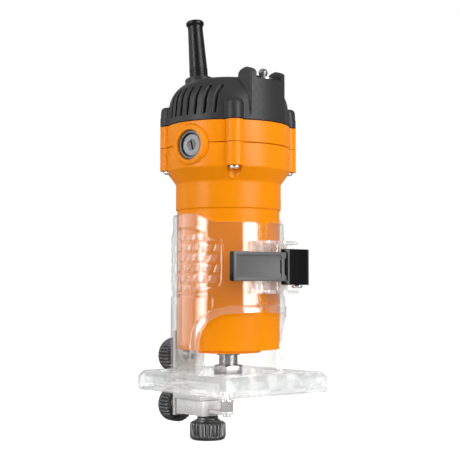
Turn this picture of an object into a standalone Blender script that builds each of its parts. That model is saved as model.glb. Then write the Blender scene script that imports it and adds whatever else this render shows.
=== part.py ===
"""Trim router (laminate trimmer) with a clear lever-clamp base and a roller guide.

Origin: on the spindle axis, in the plane of the base's sole.  +Z runs up the motor,
-Y is the front of the base (split sleeve, clamp and viewing window), +Y is the guide side.
Lengths below are millimetres; the shape functions turn them into metres.
"""
import math

import bmesh
import bpy
from mathutils import Matrix, Vector

MM = 0.001
GAP = 0.3                      # clearance between pieces that touch
SHELL_SIDES = 48               # facets round the housings
BORE_SIDES = 36                # facets round hidden bores and inner pieces
SMALL_SIDES = 16               # facets round screws, bosses and small holes

# ---- driving dimensions -------------------------------------------------------------------
MOTOR_RADIUS = 32.5            # the 65 mm motor body that the base clamps
MOTOR_BOTTOM = 25.8
MOTOR_WALL = 2.5
NOSE_RADIUS = 20.6             # shallow step under the motor
NOSE_BOTTOM = 24.4
FLANGE_RADIUS = 33.4
FLANGE_BOTTOM = 113.2
FLANGE_TOP = 129.5
HEAD_RADIUS = 39.3             # upper housing, where the brushes sit
HEAD_WALL = 2.5
CONE_TOP = 137.5
PARTING = 152.3                # joint between motor housing and brush housing
COVER_BOTTOM = 166.1           # joint between brush housing and top cover
DOME_RADIUS = 38.1
DOME_TOP = 195.4
DOME_ROUND = 19.0
BOSS_RADIUS = 5.5
BOSS_CIRCLE = 38.0
BOSS_BOTTOM = 138.0
BOSS_TOP = 178.4
FIRST_BOSS = -32.9             # degrees from the front, towards +X

BRUSH_ANGLE = -75.5
BRUSH_HEIGHT = 151.5
BRUSH_BOSS_RADIUS = 12.6
BRUSH_BOSS_FACE = 40.4
BRUSH_HOLE_RADIUS = 9.3
BRUSH_SIDES = 28
BRIDGE_BOTTOM = 160.5          # spokes that carry the upper bearing

TOWER_TURN = 4.0               # the switch tower's place round the motor, in degrees
TOWER_HALF_WIDTH = 14.7
TOWER_TOP = 192.5
TOWER_BACK = -12.0
GUARD_TOP = 199.8
GUARD_BACK = -23.8
GUARD_THICKNESS = 4.2
SWITCH_Y = -31.9
SWITCH_HOLE_RADIUS = 3.9
VENT_PITCH = 5.7
VENT_COUNT = 7
VENT_WIDTH = 1.8
VENT_BOTTOM = 170.2
VENT_TOP = 188.0
VENT_OFFSET = 7.0

CORD_EXIT_Y = 33.0
CORD_COLLAR_TOP = 202.6
CORD_COLLAR_RADIUS = 9.4
BOOT_TILT = 7.0
BOOT_LENGTH = 39.6             # above the collar

SLEEVE_BORE = 32.8
SLEEVE_RADIUS = 35.2
SKIRT_RADIUS = 36.5
SLEEVE_TOP = 111.4
SLEEVE_FRONT_TOP = 105.0
BAND_BOTTOM = 48.9             # lower edge of the clamped band, above the viewing window
WINDOW_SIDE = -11.5            # the window's upright edges lie in this Y plane
PLATE_HALF_WIDTH = 42.6
PLATE_FRONT = -50.6
PLATE_BACK = 43.5
PLATE_THICKNESS = 12.0
PLATE_CHAMFER = 4.7
PLATE_FLOOR = 6.0
BIT_OPENING = 24.0
PLATE_HOLE_RADIUS = 2.2
PLATE_HOLES = ((-33, -40), (33, -40), (-33, 36), (33, 36))
SLIT_HALF = 2.2
SKIRT_TOP = 62.0               # the sleeve widens into its skirt below this
SKIRT_SHOULDER = 56.0

LUG_BOTTOM = 60.7
LUG_TOP = 92.4
LUG_SHELF = 2.0
LUG_FRONT = -50.0
LUG_WEB_FRONT = -44.2
LEFT_LUG = -9.6
RIGHT_LUG = 11.4
RIGHT_SHELF = 15.4
LUG_BACK = -31.0
BOLT_RADIUS = 1.9
BOLT_ROOM = 2.4

LEVER_MIDDLE = 76.8            # height of the clamp's centre line
LEVER_HALF = 8.7
LEVER_FRONT = -50.0
LEVER_THICKNESS = 5.3
LEVER_TIP = -35.0
CAM_X = 20.3
CAM_Y = -42.5
CAM_RADIUS = 7.5
CAM_HALF = 10.85
COVER_END = 5.2                # where the lever's cover plate ends

CLAMP_KNOB_Z = 19.3
KNOB_RADIUS = 11.6
KNOB_LENGTH = 11.0
HOLDER_BACK = 46.8
HOLDER_LEG = 2.4
HOLDER_HALF = 10.0
HOLDER_FRONT = 16.4
HOLDER_TOP = 36.0
HOLDER_BOTTOM = -7.8
ARM_HALF = 9.0
ARM_FRONT = 15.2
ARM_BACK = 44.0
ARM_BOTTOM = -17.7
REACH_Z = -13.2
REACH_TRAVEL = 8.0             # how far the arm slides forwards
LOCK_Y = 21.3
ROLLER_Y = 1.7
ROLLER_RADIUS = 4.1


# ---- scene and materials ------------------------------------------------------------------
def clear_scene():
    for obj in list(bpy.context.scene.objects):
        bpy.data.objects.remove(obj, do_unlink=True)


def make_collection(name):
    collection = bpy.data.collections.new(name)
    bpy.context.scene.collection.children.link(collection)
    return collection


def make_material(name, colour, roughness, metallic=0.0, transmission=0.0):
    material = bpy.data.materials.new(name)
    material.use_nodes = True
    shader = material.node_tree.nodes["Principled BSDF"]
    shader.inputs["Base Color"].default_value = (*colour, 1.0)
    shader.inputs["Roughness"].default_value = roughness
    shader.inputs["Metallic"].default_value = metallic
    shader.inputs["Transmission Weight"].default_value = transmission
    material.diffuse_color = (*colour, 1.0)
    return material


clear_scene()
PARTS = make_collection("trim_router")
CUTTERS = make_collection("cutters")


# ---- shape functions ----------------------------------------------------------------------
def polar(angle, radius, z=0.0):
    """A point at so many degrees from the front, towards +X."""
    turn = math.radians(angle)
    return Vector((radius * math.sin(turn), -radius * math.cos(turn), z))


def add_object(name, mesh, material=None):
    """A material makes the mesh a part; without one it is a helper shape."""
    obj = bpy.data.objects.new(name, mesh)
    if material is None:
        CUTTERS.objects.link(obj)
        obj.hide_render = True
        obj.display_type = "WIRE"
        return obj
    PARTS.objects.link(obj)
    own = material.copy()
    own.name = name
    mesh.materials.append(own)
    mesh.shade_smooth()
    mesh.set_sharp_from_angle(angle=math.radians(30))
    return obj


def face_outwards(bm):
    bmesh.ops.recalc_face_normals(bm, faces=bm.faces)
    if bm.calc_volume(signed=True) < 0:
        bmesh.ops.reverse_faces(bm, faces=bm.faces)


def mesh_from(bm, name):
    face_outwards(bm)
    mesh = bpy.data.meshes.new(name)
    bm.to_mesh(mesh)
    bm.free()
    return mesh


def turned(name, profile, material=None, ring=False, segments=BORE_SIDES, centre=(0, 0)):
    """A solid of revolution; the profile runs down its outer side and back up inside."""
    count = len(profile)
    points = [(r * MM, 0, z * MM) for r, z in profile]
    edges = [(i, i + 1) for i in range(count - 1)]
    if ring:
        edges.append((count - 1, 0))
    mesh = bpy.data.meshes.new(name)
    mesh.from_pydata(points, edges, [])
    obj = add_object(name, mesh, material)
    obj.location = (centre[0] * MM, centre[1] * MM, 0)
    screw = obj.modifiers.new("turn", "SCREW")
    screw.steps = segments
    screw.render_steps = segments
    screw.use_merge_vertices = True
    screw.merge_threshold = 0.00001
    screw.use_smooth_shade = True
    return obj


def block(name, low, high, material=None, bevel=0.0, upright_bevel=0.0):
    """A box between two corners, with all edges or only the upright ones rounded off."""
    bm = bmesh.new()
    bmesh.ops.create_cube(bm, size=1.0)
    size = [(b - a) * MM for a, b in zip(low, high)]
    middle = [(a + b) / 2 * MM for a, b in zip(low, high)]
    bm.transform(Matrix.Translation(middle) @ Matrix.Diagonal((*size, 1.0)))
    if upright_bevel:
        edges = [e for e in bm.edges if abs(e.verts[0].co.z - e.verts[1].co.z) > 1e-6]
        bmesh.ops.bevel(bm, geom=edges, offset=upright_bevel * MM, segments=1, affect="EDGES")
    obj = add_object(name, mesh_from(bm, name), material)
    if bevel:
        add_bevel(obj, bevel)
    return obj


def add_bevel(obj, width, segments=1):
    bevel = obj.modifiers.new("edges", "BEVEL")
    bevel.width = width * MM
    bevel.segments = segments
    bevel.limit_method = "ANGLE"
    bevel.angle_limit = math.radians(40)


def rod(name, start, end, radius, material=None, end_radius=None, segments=SMALL_SIDES):
    """A cylinder or cone between two points."""
    start = Vector(start)
    end = Vector(end)
    along = end - start
    bm = bmesh.new()
    bmesh.ops.create_cone(
        bm, cap_ends=True, segments=segments, radius1=radius * MM,
        radius2=(radius if end_radius is None else end_radius) * MM, depth=along.length * MM)
    spin = along.to_track_quat("Z", "Y").to_matrix().to_4x4()
    bm.transform(Matrix.Translation((start + end) / 2 * MM) @ spin)
    return add_object(name, mesh_from(bm, name), material)


def side_outline(name, points, half_width):
    """A helper solid from a closed outline in the YZ plane, reaching both ways along X."""
    curve = bpy.data.curves.new(name, "CURVE")
    curve.dimensions = "2D"
    curve.fill_mode = "BOTH"
    curve.extrude = half_width * MM
    spline = curve.splines.new("POLY")
    spline.points.add(len(points) - 1)
    for point, (y, z) in zip(spline.points, points):
        point.co = (y * MM, z * MM, 0, 1)
    spline.use_cyclic_u = True
    drawn = bpy.data.objects.new(name, curve)
    CUTTERS.objects.link(drawn)
    drawn.rotation_euler = (math.pi / 2, 0, math.pi / 2)
    bpy.context.view_layer.update()
    evaluated = drawn.evaluated_get(bpy.context.evaluated_depsgraph_get())
    mesh = bpy.data.meshes.new_from_object(evaluated)
    bm = bmesh.new()
    bm.from_mesh(mesh)
    bmesh.ops.remove_doubles(bm, verts=bm.verts, dist=0.000001)
    face_outwards(bm)
    bm.to_mesh(mesh)
    bm.free()
    solid = add_object(name + "_solid", mesh)
    solid.matrix_world = drawn.matrix_world.copy()
    bpy.data.objects.remove(drawn, do_unlink=True)
    return solid


def combine(obj, helper, operation):
    boolean = obj.modifiers.new(helper.name, "BOOLEAN")
    boolean.operation = operation
    boolean.solver = "EXACT"
    boolean.object = helper


def cut(obj, *helpers):
    for helper in helpers:
        combine(obj, helper, "DIFFERENCE")


def join(obj, *helpers):
    for helper in helpers:
        combine(obj, helper, "UNION")


def turn_about_axis(angle, *objects):
    """Turns objects about the spindle axis."""
    for obj in objects:
        obj.matrix_world = Matrix.Rotation(math.radians(angle), 4, "Z") @ obj.matrix_world


def smooth_step(t):
    t = min(max(t, 0.0), 1.0)
    return t * t * (3 - 2 * t)


def moving_group(name, origin, *objects):
    """An empty on the joint's axis carries the pieces that move with it."""
    empty = bpy.data.objects.new(name, None)
    PARTS.objects.link(empty)
    empty.location = [value * MM for value in origin]
    bpy.context.view_layer.update()
    for obj in objects:
        obj.parent = empty
        obj.matrix_parent_inverse = empty.matrix_world.inverted()


# ---- materials ----------------------------------------------------------------------------
ORANGE = make_material("orange_housing", (0.93, 0.30, 0.006), 0.42)
CHARCOAL = make_material("charcoal_plastic", (0.055, 0.056, 0.058), 0.55)
BLACK = make_material("black_plastic", (0.018, 0.018, 0.019), 0.4)
RUBBER = make_material("rubber", (0.03, 0.03, 0.03), 0.6)
CLEAR = make_material("clear_plastic", (0.93, 0.95, 0.96), 0.05, transmission=1.0)
CAST = make_material("cast_metal", (0.62, 0.62, 0.61), 0.4, metallic=1.0)
STEEL = make_material("steel", (0.55, 0.55, 0.56), 0.28, metallic=1.0)
COPPER = make_material("copper_wire", (0.72, 0.30, 0.12), 0.4, metallic=1.0)
BRASS = make_material("brass", (0.75, 0.55, 0.22), 0.35, metallic=1.0)
CARBON = make_material("carbon", (0.05, 0.05, 0.055), 0.8)
GREY = make_material("grey_plastic", (0.33, 0.33, 0.34), 0.5)


# ---- base ---------------------------------------------------------------------------------
def sleeve_top_outline():
    """Everything above the sleeve's top edge, which dips in a wave towards the front."""
    rise = SLEEVE_TOP - SLEEVE_FRONT_TOP
    wave_front = -23.1
    wave_back = -7.3
    steps = 8
    points = [(-70, SLEEVE_FRONT_TOP)]
    for i in range(steps + 1):
        y = wave_front + (wave_back - wave_front) * i / steps
        points.append((y, SLEEVE_FRONT_TOP + rise * smooth_step(i / steps)))
    return points + [(60, SLEEVE_TOP), (60, SLEEVE_TOP + 20), (-70, SLEEVE_TOP + 20)]


def window_outline():
    """The viewing window: upright at its sides, sloping over into the band above it."""
    slope_low = 29.0
    slope_back = WINDOW_SIDE
    slope_front = -31.0
    steps = 10
    points = [(-70, PLATE_THICKNESS + 0.4), (slope_back, PLATE_THICKNESS + 0.4), (slope_back, slope_low)]
    for i in range(1, steps + 1):
        turn = math.pi / 2 * i / steps
        y = slope_back + (slope_front - slope_back) * (1 - math.cos(turn))
        z = slope_low + (BAND_BOTTOM - slope_low) * math.sin(turn)
        points.append((y, z))
    return points + [(-70, BAND_BOTTOM)]


def build_base():
    base = block("base_housing", (-PLATE_HALF_WIDTH, PLATE_FRONT, 0),
                 (PLATE_HALF_WIDTH, PLATE_BACK, PLATE_THICKNESS), CLEAR, upright_bevel=PLATE_CHAMFER)
    sleeve = turned("sleeve_body", [
        (0, SLEEVE_TOP + 2), (SLEEVE_RADIUS, SLEEVE_TOP + 2), (SLEEVE_RADIUS, SKIRT_TOP),
        (SKIRT_RADIUS, SKIRT_SHOULDER), (SKIRT_RADIUS, PLATE_THICKNESS - 3), (0, PLATE_THICKNESS - 3)],
        segments=SHELL_SIDES)
    left_web = block("left_web", (LEFT_LUG, LUG_WEB_FRONT, LUG_BOTTOM + 0.5), (0, LUG_BACK, LUG_TOP - 0.5))
    right_web = block("right_web", (-0.5, LUG_WEB_FRONT, LUG_BOTTOM + 0.6),
                      (RIGHT_LUG, LUG_BACK, LUG_TOP - 0.6))
    shelves = [
        block("low_shelf", (LEFT_LUG - 0.4, LUG_FRONT, LUG_BOTTOM),
              (RIGHT_SHELF, LUG_BACK + 2, LUG_BOTTOM + LUG_SHELF), upright_bevel=1.5),
        block("high_shelf", (LEFT_LUG - 0.4, LUG_FRONT, LUG_TOP - LUG_SHELF),
              (RIGHT_SHELF, LUG_BACK + 2, LUG_TOP), upright_bevel=1.5)]
    rear_boss = block("rear_boss", (-HOLDER_HALF + 1, 30, 10), (HOLDER_HALF - 1, PLATE_BACK - 0.2, 29))
    join(base, sleeve, left_web, right_web, *shelves, rear_boss)
    bore = rod("bore", (0, 0, PLATE_FLOOR), (0, 0, SLEEVE_TOP + 30), SLEEVE_BORE, segments=SHELL_SIDES)
    opening = rod("bit_opening", (0, 0, -5), (0, 0, 20), BIT_OPENING, segments=BORE_SIDES)
    slit = block("slit", (-SLIT_HALF, -70, BAND_BOTTOM - 10), (SLIT_HALF, -20, SLEEVE_TOP + 10))
    cut(base, bore, opening, slit,
        side_outline("above_sleeve", sleeve_top_outline(), 60),
        side_outline("window", window_outline(), 60))
    bolt_slot = block("bolt_slot", (-20, -60, LEVER_MIDDLE - BOLT_ROOM), (18, CAM_Y, LEVER_MIDDLE + BOLT_ROOM))
    bolt_bore = rod("bolt_bore", (-21, CAM_Y, LEVER_MIDDLE), (19, CAM_Y, LEVER_MIDDLE), BOLT_ROOM)
    knob_bore = rod("knob_bore", (0, 37.5, CLAMP_KNOB_Z), (0, 60, CLAMP_KNOB_Z), 2.6)
    cut(base, bolt_slot, bolt_bore, knob_bore)
    for i, (x, y) in enumerate(PLATE_HOLES):
        cut(base, rod("plate_hole_%d" % i, (x, y, -5), (x, y, 20), PLATE_HOLE_RADIUS))
    return base


def build_clamp():
    face = RIGHT_LUG + GAP
    washer = turned("clamp_washer", [(4.2, 0.9), (4.2, 0.0), (2.3, 0.0), (2.3, 0.9)], STEEL, ring=True,
                    segments=SMALL_SIDES)
    washer.matrix_world = (Matrix.Translation((face * MM, CAM_Y * MM, LEVER_MIDDLE * MM))
                           @ Matrix.Rotation(math.pi / 2, 4, "Y"))
    bolt = rod("clamp_bolt", (-15.5, CAM_Y, LEVER_MIDDLE), (16.5, CAM_Y, LEVER_MIDDLE), BOLT_RADIUS, STEEL)
    eye = rod("bolt_eye", (CAM_X, CAM_Y, LEVER_MIDDLE - 2.6), (CAM_X, CAM_Y, LEVER_MIDDLE + 2.6), 4.4)
    eye_hole = rod("bolt_eye_hole", (CAM_X, CAM_Y, LEVER_MIDDLE - 9), (CAM_X, CAM_Y, LEVER_MIDDLE + 9), 1.8)
    join(bolt, eye)
    cut(bolt, eye_hole)
    nut = rod("clamp_nut", (-14.2, CAM_Y, LEVER_MIDDLE), (LEFT_LUG - 0.4 - GAP, CAM_Y, LEVER_MIDDLE), 3.7,
              STEEL, segments=6)
    cut(nut, rod("nut_hole", (-20, CAM_Y, LEVER_MIDDLE), (0, CAM_Y, LEVER_MIDDLE), 2.15))
    pin = rod("clamp_pin", (CAM_X, CAM_Y, LEVER_MIDDLE - CAM_HALF - GAP - 1.5),
              (CAM_X, CAM_Y, LEVER_MIDDLE + CAM_HALF - 1.0), 1.5, STEEL)
    join(pin, rod("pin_head", (CAM_X, CAM_Y, LEVER_MIDDLE - CAM_HALF - GAP - 1.7),
                  (CAM_X, CAM_Y, LEVER_MIDDLE - CAM_HALF - GAP), 3.5))
    return washer, bolt, nut, pin


def build_lever():
    low = LEVER_MIDDLE - LEVER_HALF
    high = LEVER_MIDDLE + LEVER_HALF
    back = LEVER_FRONT + LEVER_THICKNESS
    lever = rod("clamp_lever", (CAM_X, CAM_Y, LEVER_MIDDLE - CAM_HALF), (CAM_X, CAM_Y, LEVER_MIDDLE + CAM_HALF),
                CAM_RADIUS, BLACK, segments=40)
    shoulder = block("shoulder", (COVER_END + 0.2, LEVER_FRONT, LEVER_MIDDLE - CAM_HALF + 0.1),
                     (CAM_X, back, LEVER_MIDDLE + CAM_HALF - 0.1))
    arm = block("arm", (LEVER_TIP, LEVER_FRONT + 1.8, low), (CAM_X - 1, back - 0.1, high), upright_bevel=0.8)
    join(lever, shoulder, arm)
    yoke = block("yoke", (5.5, back - 0.4, LEVER_MIDDLE - 3.0), (40, -20, LEVER_MIDDLE + 3.0))
    fork = rod("fork", (CAM_X, CAM_Y, LEVER_MIDDLE - 3.0), (CAM_X, CAM_Y, LEVER_MIDDLE + 3.0), 4.8, segments=32)
    pin_hole = rod("pin_hole", (CAM_X, CAM_Y, LEVER_MIDDLE - 30), (CAM_X, CAM_Y, LEVER_MIDDLE + CAM_HALF - 0.7),
                   1.8)
    nut_room = block("nut_room", (-17.5, -46.6, LEVER_MIDDLE - 4.4), (LEFT_LUG + 0.6, -35, LEVER_MIDDLE + 4.4))
    washer_room = block("washer_room", (RIGHT_LUG - 2, -47.1, LEVER_MIDDLE - 4.6), (RIGHT_LUG + 1.6, -30,
                        LEVER_MIDDLE + 4.6))
    cut(lever, yoke, fork, pin_hole, nut_room, washer_room)
    cover = block("lever_cover", (LEVER_TIP, LEVER_FRONT, low), (COVER_END, LEVER_FRONT + 1.5, high), GREY,
                  bevel=0.5)
    recess = block("recess", (LEVER_TIP + 2.4, LEVER_FRONT - 2, low + 2.2), (COVER_END - 2.4, LEVER_FRONT + 0.6,
                   high - 2.2))
    cut(cover, recess)
    moving_group("clamp_lever_axis", (CAM_X, CAM_Y, LEVER_MIDDLE), lever, cover)


# ---- motor --------------------------------------------------------------------------------
def boss_angles():
    return [FIRST_BOSS + 90 * k for k in range(4)]


def build_motor_housing():
    top = PARTING - GAP / 2
    inner = MOTOR_RADIUS - MOTOR_WALL
    housing = turned("motor_housing", [
        (0, top), (HEAD_RADIUS, top), (HEAD_RADIUS, CONE_TOP), (FLANGE_RADIUS, FLANGE_TOP),
        (FLANGE_RADIUS, FLANGE_BOTTOM), (MOTOR_RADIUS, FLANGE_BOTTOM - 0.6), (MOTOR_RADIUS, MOTOR_BOTTOM + 0.8),
        (MOTOR_RADIUS - 0.8, MOTOR_BOTTOM), (NOSE_RADIUS, MOTOR_BOTTOM), (NOSE_RADIUS, NOSE_BOTTOM),
        (0, NOSE_BOTTOM)], ORANGE, segments=SHELL_SIDES)
    for k, angle in enumerate(boss_angles()):
        foot = polar(angle, BOSS_CIRCLE, BOSS_BOTTOM)
        join(housing, rod("boss_%d" % k, foot, polar(angle, BOSS_CIRCLE, top - 0.01), BOSS_RADIUS))
    for side, angle in (("left", BRUSH_ANGLE), ("right", BRUSH_ANGLE + 180)):
        join(housing, rod("brush_boss_" + side, polar(angle, 33, BRUSH_HEIGHT),
                          polar(angle, BRUSH_BOSS_FACE, BRUSH_HEIGHT), BRUSH_BOSS_RADIUS, segments=BRUSH_SIDES))
    hollow = turned("motor_hollow", [
        (0, 170), (HEAD_RADIUS - HEAD_WALL, 170), (HEAD_RADIUS - HEAD_WALL, CONE_TOP + 4.4),
        (inner, FLANGE_TOP + 5.4), (inner, 30), (14.5, 30), (14.5, 38), (11.3, 38), (11.3, 29), (0, 29)],
        segments=SHELL_SIDES)
    cut(housing, hollow, rod("spindle_hole", (0, 0, 10), (0, 0, 40), 8.0))
    for side, angle in (("left", BRUSH_ANGLE), ("right", BRUSH_ANGLE + 180)):
        cut(housing, rod("brush_hole_" + side, polar(angle, 30, BRUSH_HEIGHT), polar(angle, 60, BRUSH_HEIGHT),
                         BRUSH_HOLE_RADIUS))
    for k, angle in enumerate(boss_angles()):
        foot = polar(angle, BOSS_CIRCLE, BOSS_BOTTOM - 5)
        cut(housing, rod("boss_hole_%d" % k, foot, polar(angle, BOSS_CIRCLE, BOSS_BOTTOM + 9), 2.0),
            rod("driver_groove_%d" % k, polar(angle, BOSS_CIRCLE + 0.8, FLANGE_TOP - 4),
                polar(angle, BOSS_CIRCLE + 0.4, BOSS_BOTTOM), 4.4))
    return housing


def build_brush_housing():
    low = PARTING + GAP / 2
    high = COVER_BOTTOM - GAP / 2
    inner = HEAD_RADIUS - HEAD_WALL
    profile = [(HEAD_RADIUS, high), (HEAD_RADIUS, low), (inner, low), (inner, high)]
    ring = turned("brush_housing", profile, ORANGE, ring=True, segments=SHELL_SIDES)
    for k, angle in enumerate(boss_angles()):
        boss = rod("ring_boss_%d" % k, polar(angle, BOSS_CIRCLE, low + 0.01),
                   polar(angle, BOSS_CIRCLE, high - 0.01), BOSS_RADIUS)
        join(ring, boss)
    for k in range(2):
        spoke = block("spoke_%d" % k, (-HEAD_RADIUS + 1, -5, BRIDGE_BOTTOM), (HEAD_RADIUS - 1, 5, high - 0.4))
        turn_about_axis(BRUSH_ANGLE + 45 + 90 * k, spoke)
        join(ring, spoke)
    seat = rod("bearing_seat", (0, 0, BRIDGE_BOTTOM - 3), (0, 0, high - 0.2), 13.0)
    join(ring, seat)
    cut(ring, rod("seat_bore", (0, 0, 150), (0, 0, high - 1.5), 9.9),
        rod("seat_through", (0, 0, 150), (0, 0, 180), 6.0))
    for side, angle in (("left", BRUSH_ANGLE), ("right", BRUSH_ANGLE + 180)):
        cut(ring, rod("ring_cut_" + side, polar(angle, 28, BRUSH_HEIGHT), polar(angle, 60, BRUSH_HEIGHT),
                      BRUSH_BOSS_RADIUS + GAP, segments=BRUSH_SIDES))
    return ring


def dome_profile(radius, top, rounding, bottom, foot_radius):
    """Dome outline from the axis at the top down the rounded shoulder to the foot."""
    steps = 8
    points = [(0, top)]
    for i in range(steps + 1):
        turn = math.pi / 2 * i / steps
        points.append((radius - rounding * (1 - math.sin(turn)), top - rounding * (1 - math.cos(turn))))
    return points + [(foot_radius, bottom), (0, bottom)]


def build_top_cover():
    low = COVER_BOTTOM + GAP / 2
    cover = turned("top_cover", dome_profile(DOME_RADIUS, DOME_TOP, DOME_ROUND, low, HEAD_RADIUS), CHARCOAL,
                   segments=SHELL_SIDES)
    tower = block("tower", (-TOWER_HALF_WIDTH, -50, low + 1.0), (TOWER_HALF_WIDTH, TOWER_BACK, TOWER_TOP))
    guards = []
    for side in (-1, 1):
        edges = sorted((side * TOWER_HALF_WIDTH, side * (TOWER_HALF_WIDTH - GUARD_THICKNESS)))
        outline = [(-50, TOWER_TOP - 4), (-50, GUARD_TOP - 6), (-37.5, GUARD_TOP - 2.4), (-33.5, GUARD_TOP),
                   (GUARD_BACK - 1.5, GUARD_TOP - 1.0), (GUARD_BACK, GUARD_TOP - 3),
                   (GUARD_BACK, TOWER_TOP - 4)]
        guard = side_outline("guard_%d" % (side + 1), outline, GUARD_THICKNESS / 2 - 0.15)
        guard.location.x = (edges[0] + edges[1]) / 2 * MM
        guards.append(guard)
    bpy.context.view_layer.update()
    turn_about_axis(TOWER_TURN, tower, *guards)
    join(tower, *guards)
    trim = rod("tower_trim", (0, 0, 150), (0, 0, 230), HEAD_RADIUS - 0.15, segments=SHELL_SIDES)
    combine(tower, trim, "INTERSECT")
    join(cover, tower)
    for k, angle in enumerate(boss_angles()):
        join(cover, rod("cover_boss_%d" % k, polar(angle, BOSS_CIRCLE, low + 0.3),
                        polar(angle, BOSS_CIRCLE - 0.6, BOSS_TOP - 2.5), BOSS_RADIUS))
        join(cover, rod("boss_crown_%d" % k, polar(angle, BOSS_CIRCLE - 0.6, BOSS_TOP - 3.5),
                        polar(angle, BOSS_CIRCLE - 0.9, BOSS_TOP), BOSS_RADIUS - 0.1,
                        end_radius=BOSS_RADIUS - 2.5))
    collar_top = boot_axis(0)
    join(cover, rod("cord_collar", (0, 28.0, 171), collar_top, CORD_COLLAR_RADIUS, segments=BORE_SIDES))
    inner = dome_profile(DOME_RADIUS - 2.6, DOME_TOP - 2.6, DOME_ROUND - 2.6, low - 8, HEAD_RADIUS - HEAD_WALL)
    cut(cover, turned("cover_hollow", inner, segments=BORE_SIDES))
    tower_hollow = block("tower_hollow", (-TOWER_HALF_WIDTH + 2.6, -36.0, low - 8),
                         (TOWER_HALF_WIDTH - 2.6, TOWER_BACK - 3, TOWER_TOP - 2.6))
    switch_hole = rod("switch_hole", (0, SWITCH_Y, 180), (0, SWITCH_Y, 215), SWITCH_HOLE_RADIUS)
    bay_half = TOWER_HALF_WIDTH - GUARD_THICKNESS + 0.1
    switch_bay = block("switch_bay", (-bay_half, -60, TOWER_TOP - 0.02), (bay_half, GUARD_BACK + 1.5, 215))
    turn_about_axis(TOWER_TURN, tower_hollow, switch_hole, switch_bay)
    cut(cover, switch_bay, tower_hollow, switch_hole)
    boot_foot = (0, CORD_EXIT_Y - 3.5, CORD_COLLAR_TOP - 28)
    cut(cover, rod("cord_hole", boot_foot, boot_axis(12), 4.6),
        rod("boot_seat", boot_axis(-8), boot_axis(12), 6.2 + GAP, segments=28))
    for side in (-1, 1):
        for k in range(VENT_COUNT):
            y = side * (VENT_OFFSET + (k - (VENT_COUNT - 1) / 2) * VENT_PITCH)
            depth = math.sqrt(31.0 ** 2 - y * y)
            ends = sorted((side * depth, side * 50))
            vent = block("vent_%d_%d" % (side + 1, k), (ends[0], y - VENT_WIDTH / 2, VENT_BOTTOM),
                         (ends[1], y + VENT_WIDTH / 2, VENT_TOP))
            cut(cover, vent)
    return cover


def boot_axis(distance):
    """A point on the strain relief's leaning axis, measured from the collar's top."""
    lean = math.radians(BOOT_TILT)
    y = CORD_EXIT_Y - 1.8 + distance * math.sin(lean)
    return Vector((0, y, CORD_COLLAR_TOP + distance * math.cos(lean)))


def build_strain_relief():
    boot = turned("strain_relief", [
        (5.6, BOOT_LENGTH), (6.0, BOOT_LENGTH - 0.7), (6.0, BOOT_LENGTH - 2.7), (5.0, BOOT_LENGTH - 4),
        (6.1, 0), (6.1, -7.5), (3.4, -7.5), (3.4, BOOT_LENGTH)], RUBBER, ring=True, segments=20)
    boot.matrix_world = (Matrix.Translation(boot_axis(0) * MM)
                         @ Matrix.Rotation(math.radians(-BOOT_TILT), 4, "X"))
    return boot


def build_screws():
    screws = []
    for k, angle in enumerate(boss_angles()):
        head_top = BOSS_BOTTOM - GAP
        screw = rod("housing_screw_%d" % (k + 1), polar(angle, BOSS_CIRCLE, head_top - 1.9),
                    polar(angle, BOSS_CIRCLE, head_top), 2.6, STEEL, end_radius=3.5)
        join(screw, rod("screw_shank_%d" % k, polar(angle, BOSS_CIRCLE, head_top - 0.5),
                        polar(angle, BOSS_CIRCLE, BOSS_BOTTOM + 8), 1.7))
        screws.append(screw)
    return screws


def brush_rod(name, angle, start, end, radius, material=None):
    """A cylinder along a brush's axis, between two distances from the spindle axis."""
    return rod(name, polar(angle, start, BRUSH_HEIGHT), polar(angle, end, BRUSH_HEIGHT), radius, material,
               segments=BRUSH_SIDES)


def brush_block(name, angle, start, end, half_width, half_height, material=None):
    """A bar along a brush's axis, between two distances from the spindle axis."""
    bar = block(name, (-half_width, start, BRUSH_HEIGHT - half_height),
                (half_width, end, BRUSH_HEIGHT + half_height), material)
    turn_about_axis(angle + 180, bar)
    return bar


def build_brushes():
    pieces = []
    for side, angle in (("left", BRUSH_ANGLE), ("right", BRUSH_ANGLE + 180)):
        holder = brush_rod("brush_holder_" + side, angle, 20, 39.0, 9.0, BLACK)
        carbon = brush_block("carbon_brush_" + side, angle, 11.4, 27, 3.0, 3.5, CARBON)
        cap = brush_rod("brush_cap_" + side, angle, 33.5, 37.6, 6.8, GREY)
        cut(cap, brush_block("cap_slot_" + side, angle, 36.6, 45, 0.6, 3.2))
        cut(holder, brush_block("brush_channel_" + side, angle, 10, 33, 3.3, 3.8),
            brush_rod("cap_seat_" + side, angle, 33.1, 50, 7.1))
        pieces += [holder, carbon, cap]
    return pieces


def build_stator():
    core = turned("stator_core", [(29.6, 95), (29.6, 50), (18.0, 50), (18.0, 95)], STEEL, ring=True)
    low = turned("stator_winding_lower", [(28, 49.7), (28, 43), (19.5, 43), (19.5, 49.7)], COPPER, ring=True)
    high = turned("stator_winding_upper", [(28, 102), (28, 95.3), (19.5, 95.3), (19.5, 102)], COPPER, ring=True)
    return core, low, high


def bearing(name, outer, inner, low, high):
    return turned(name, [(outer, high), (outer, low), (inner, low), (inner, high)], STEEL, ring=True)


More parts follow.
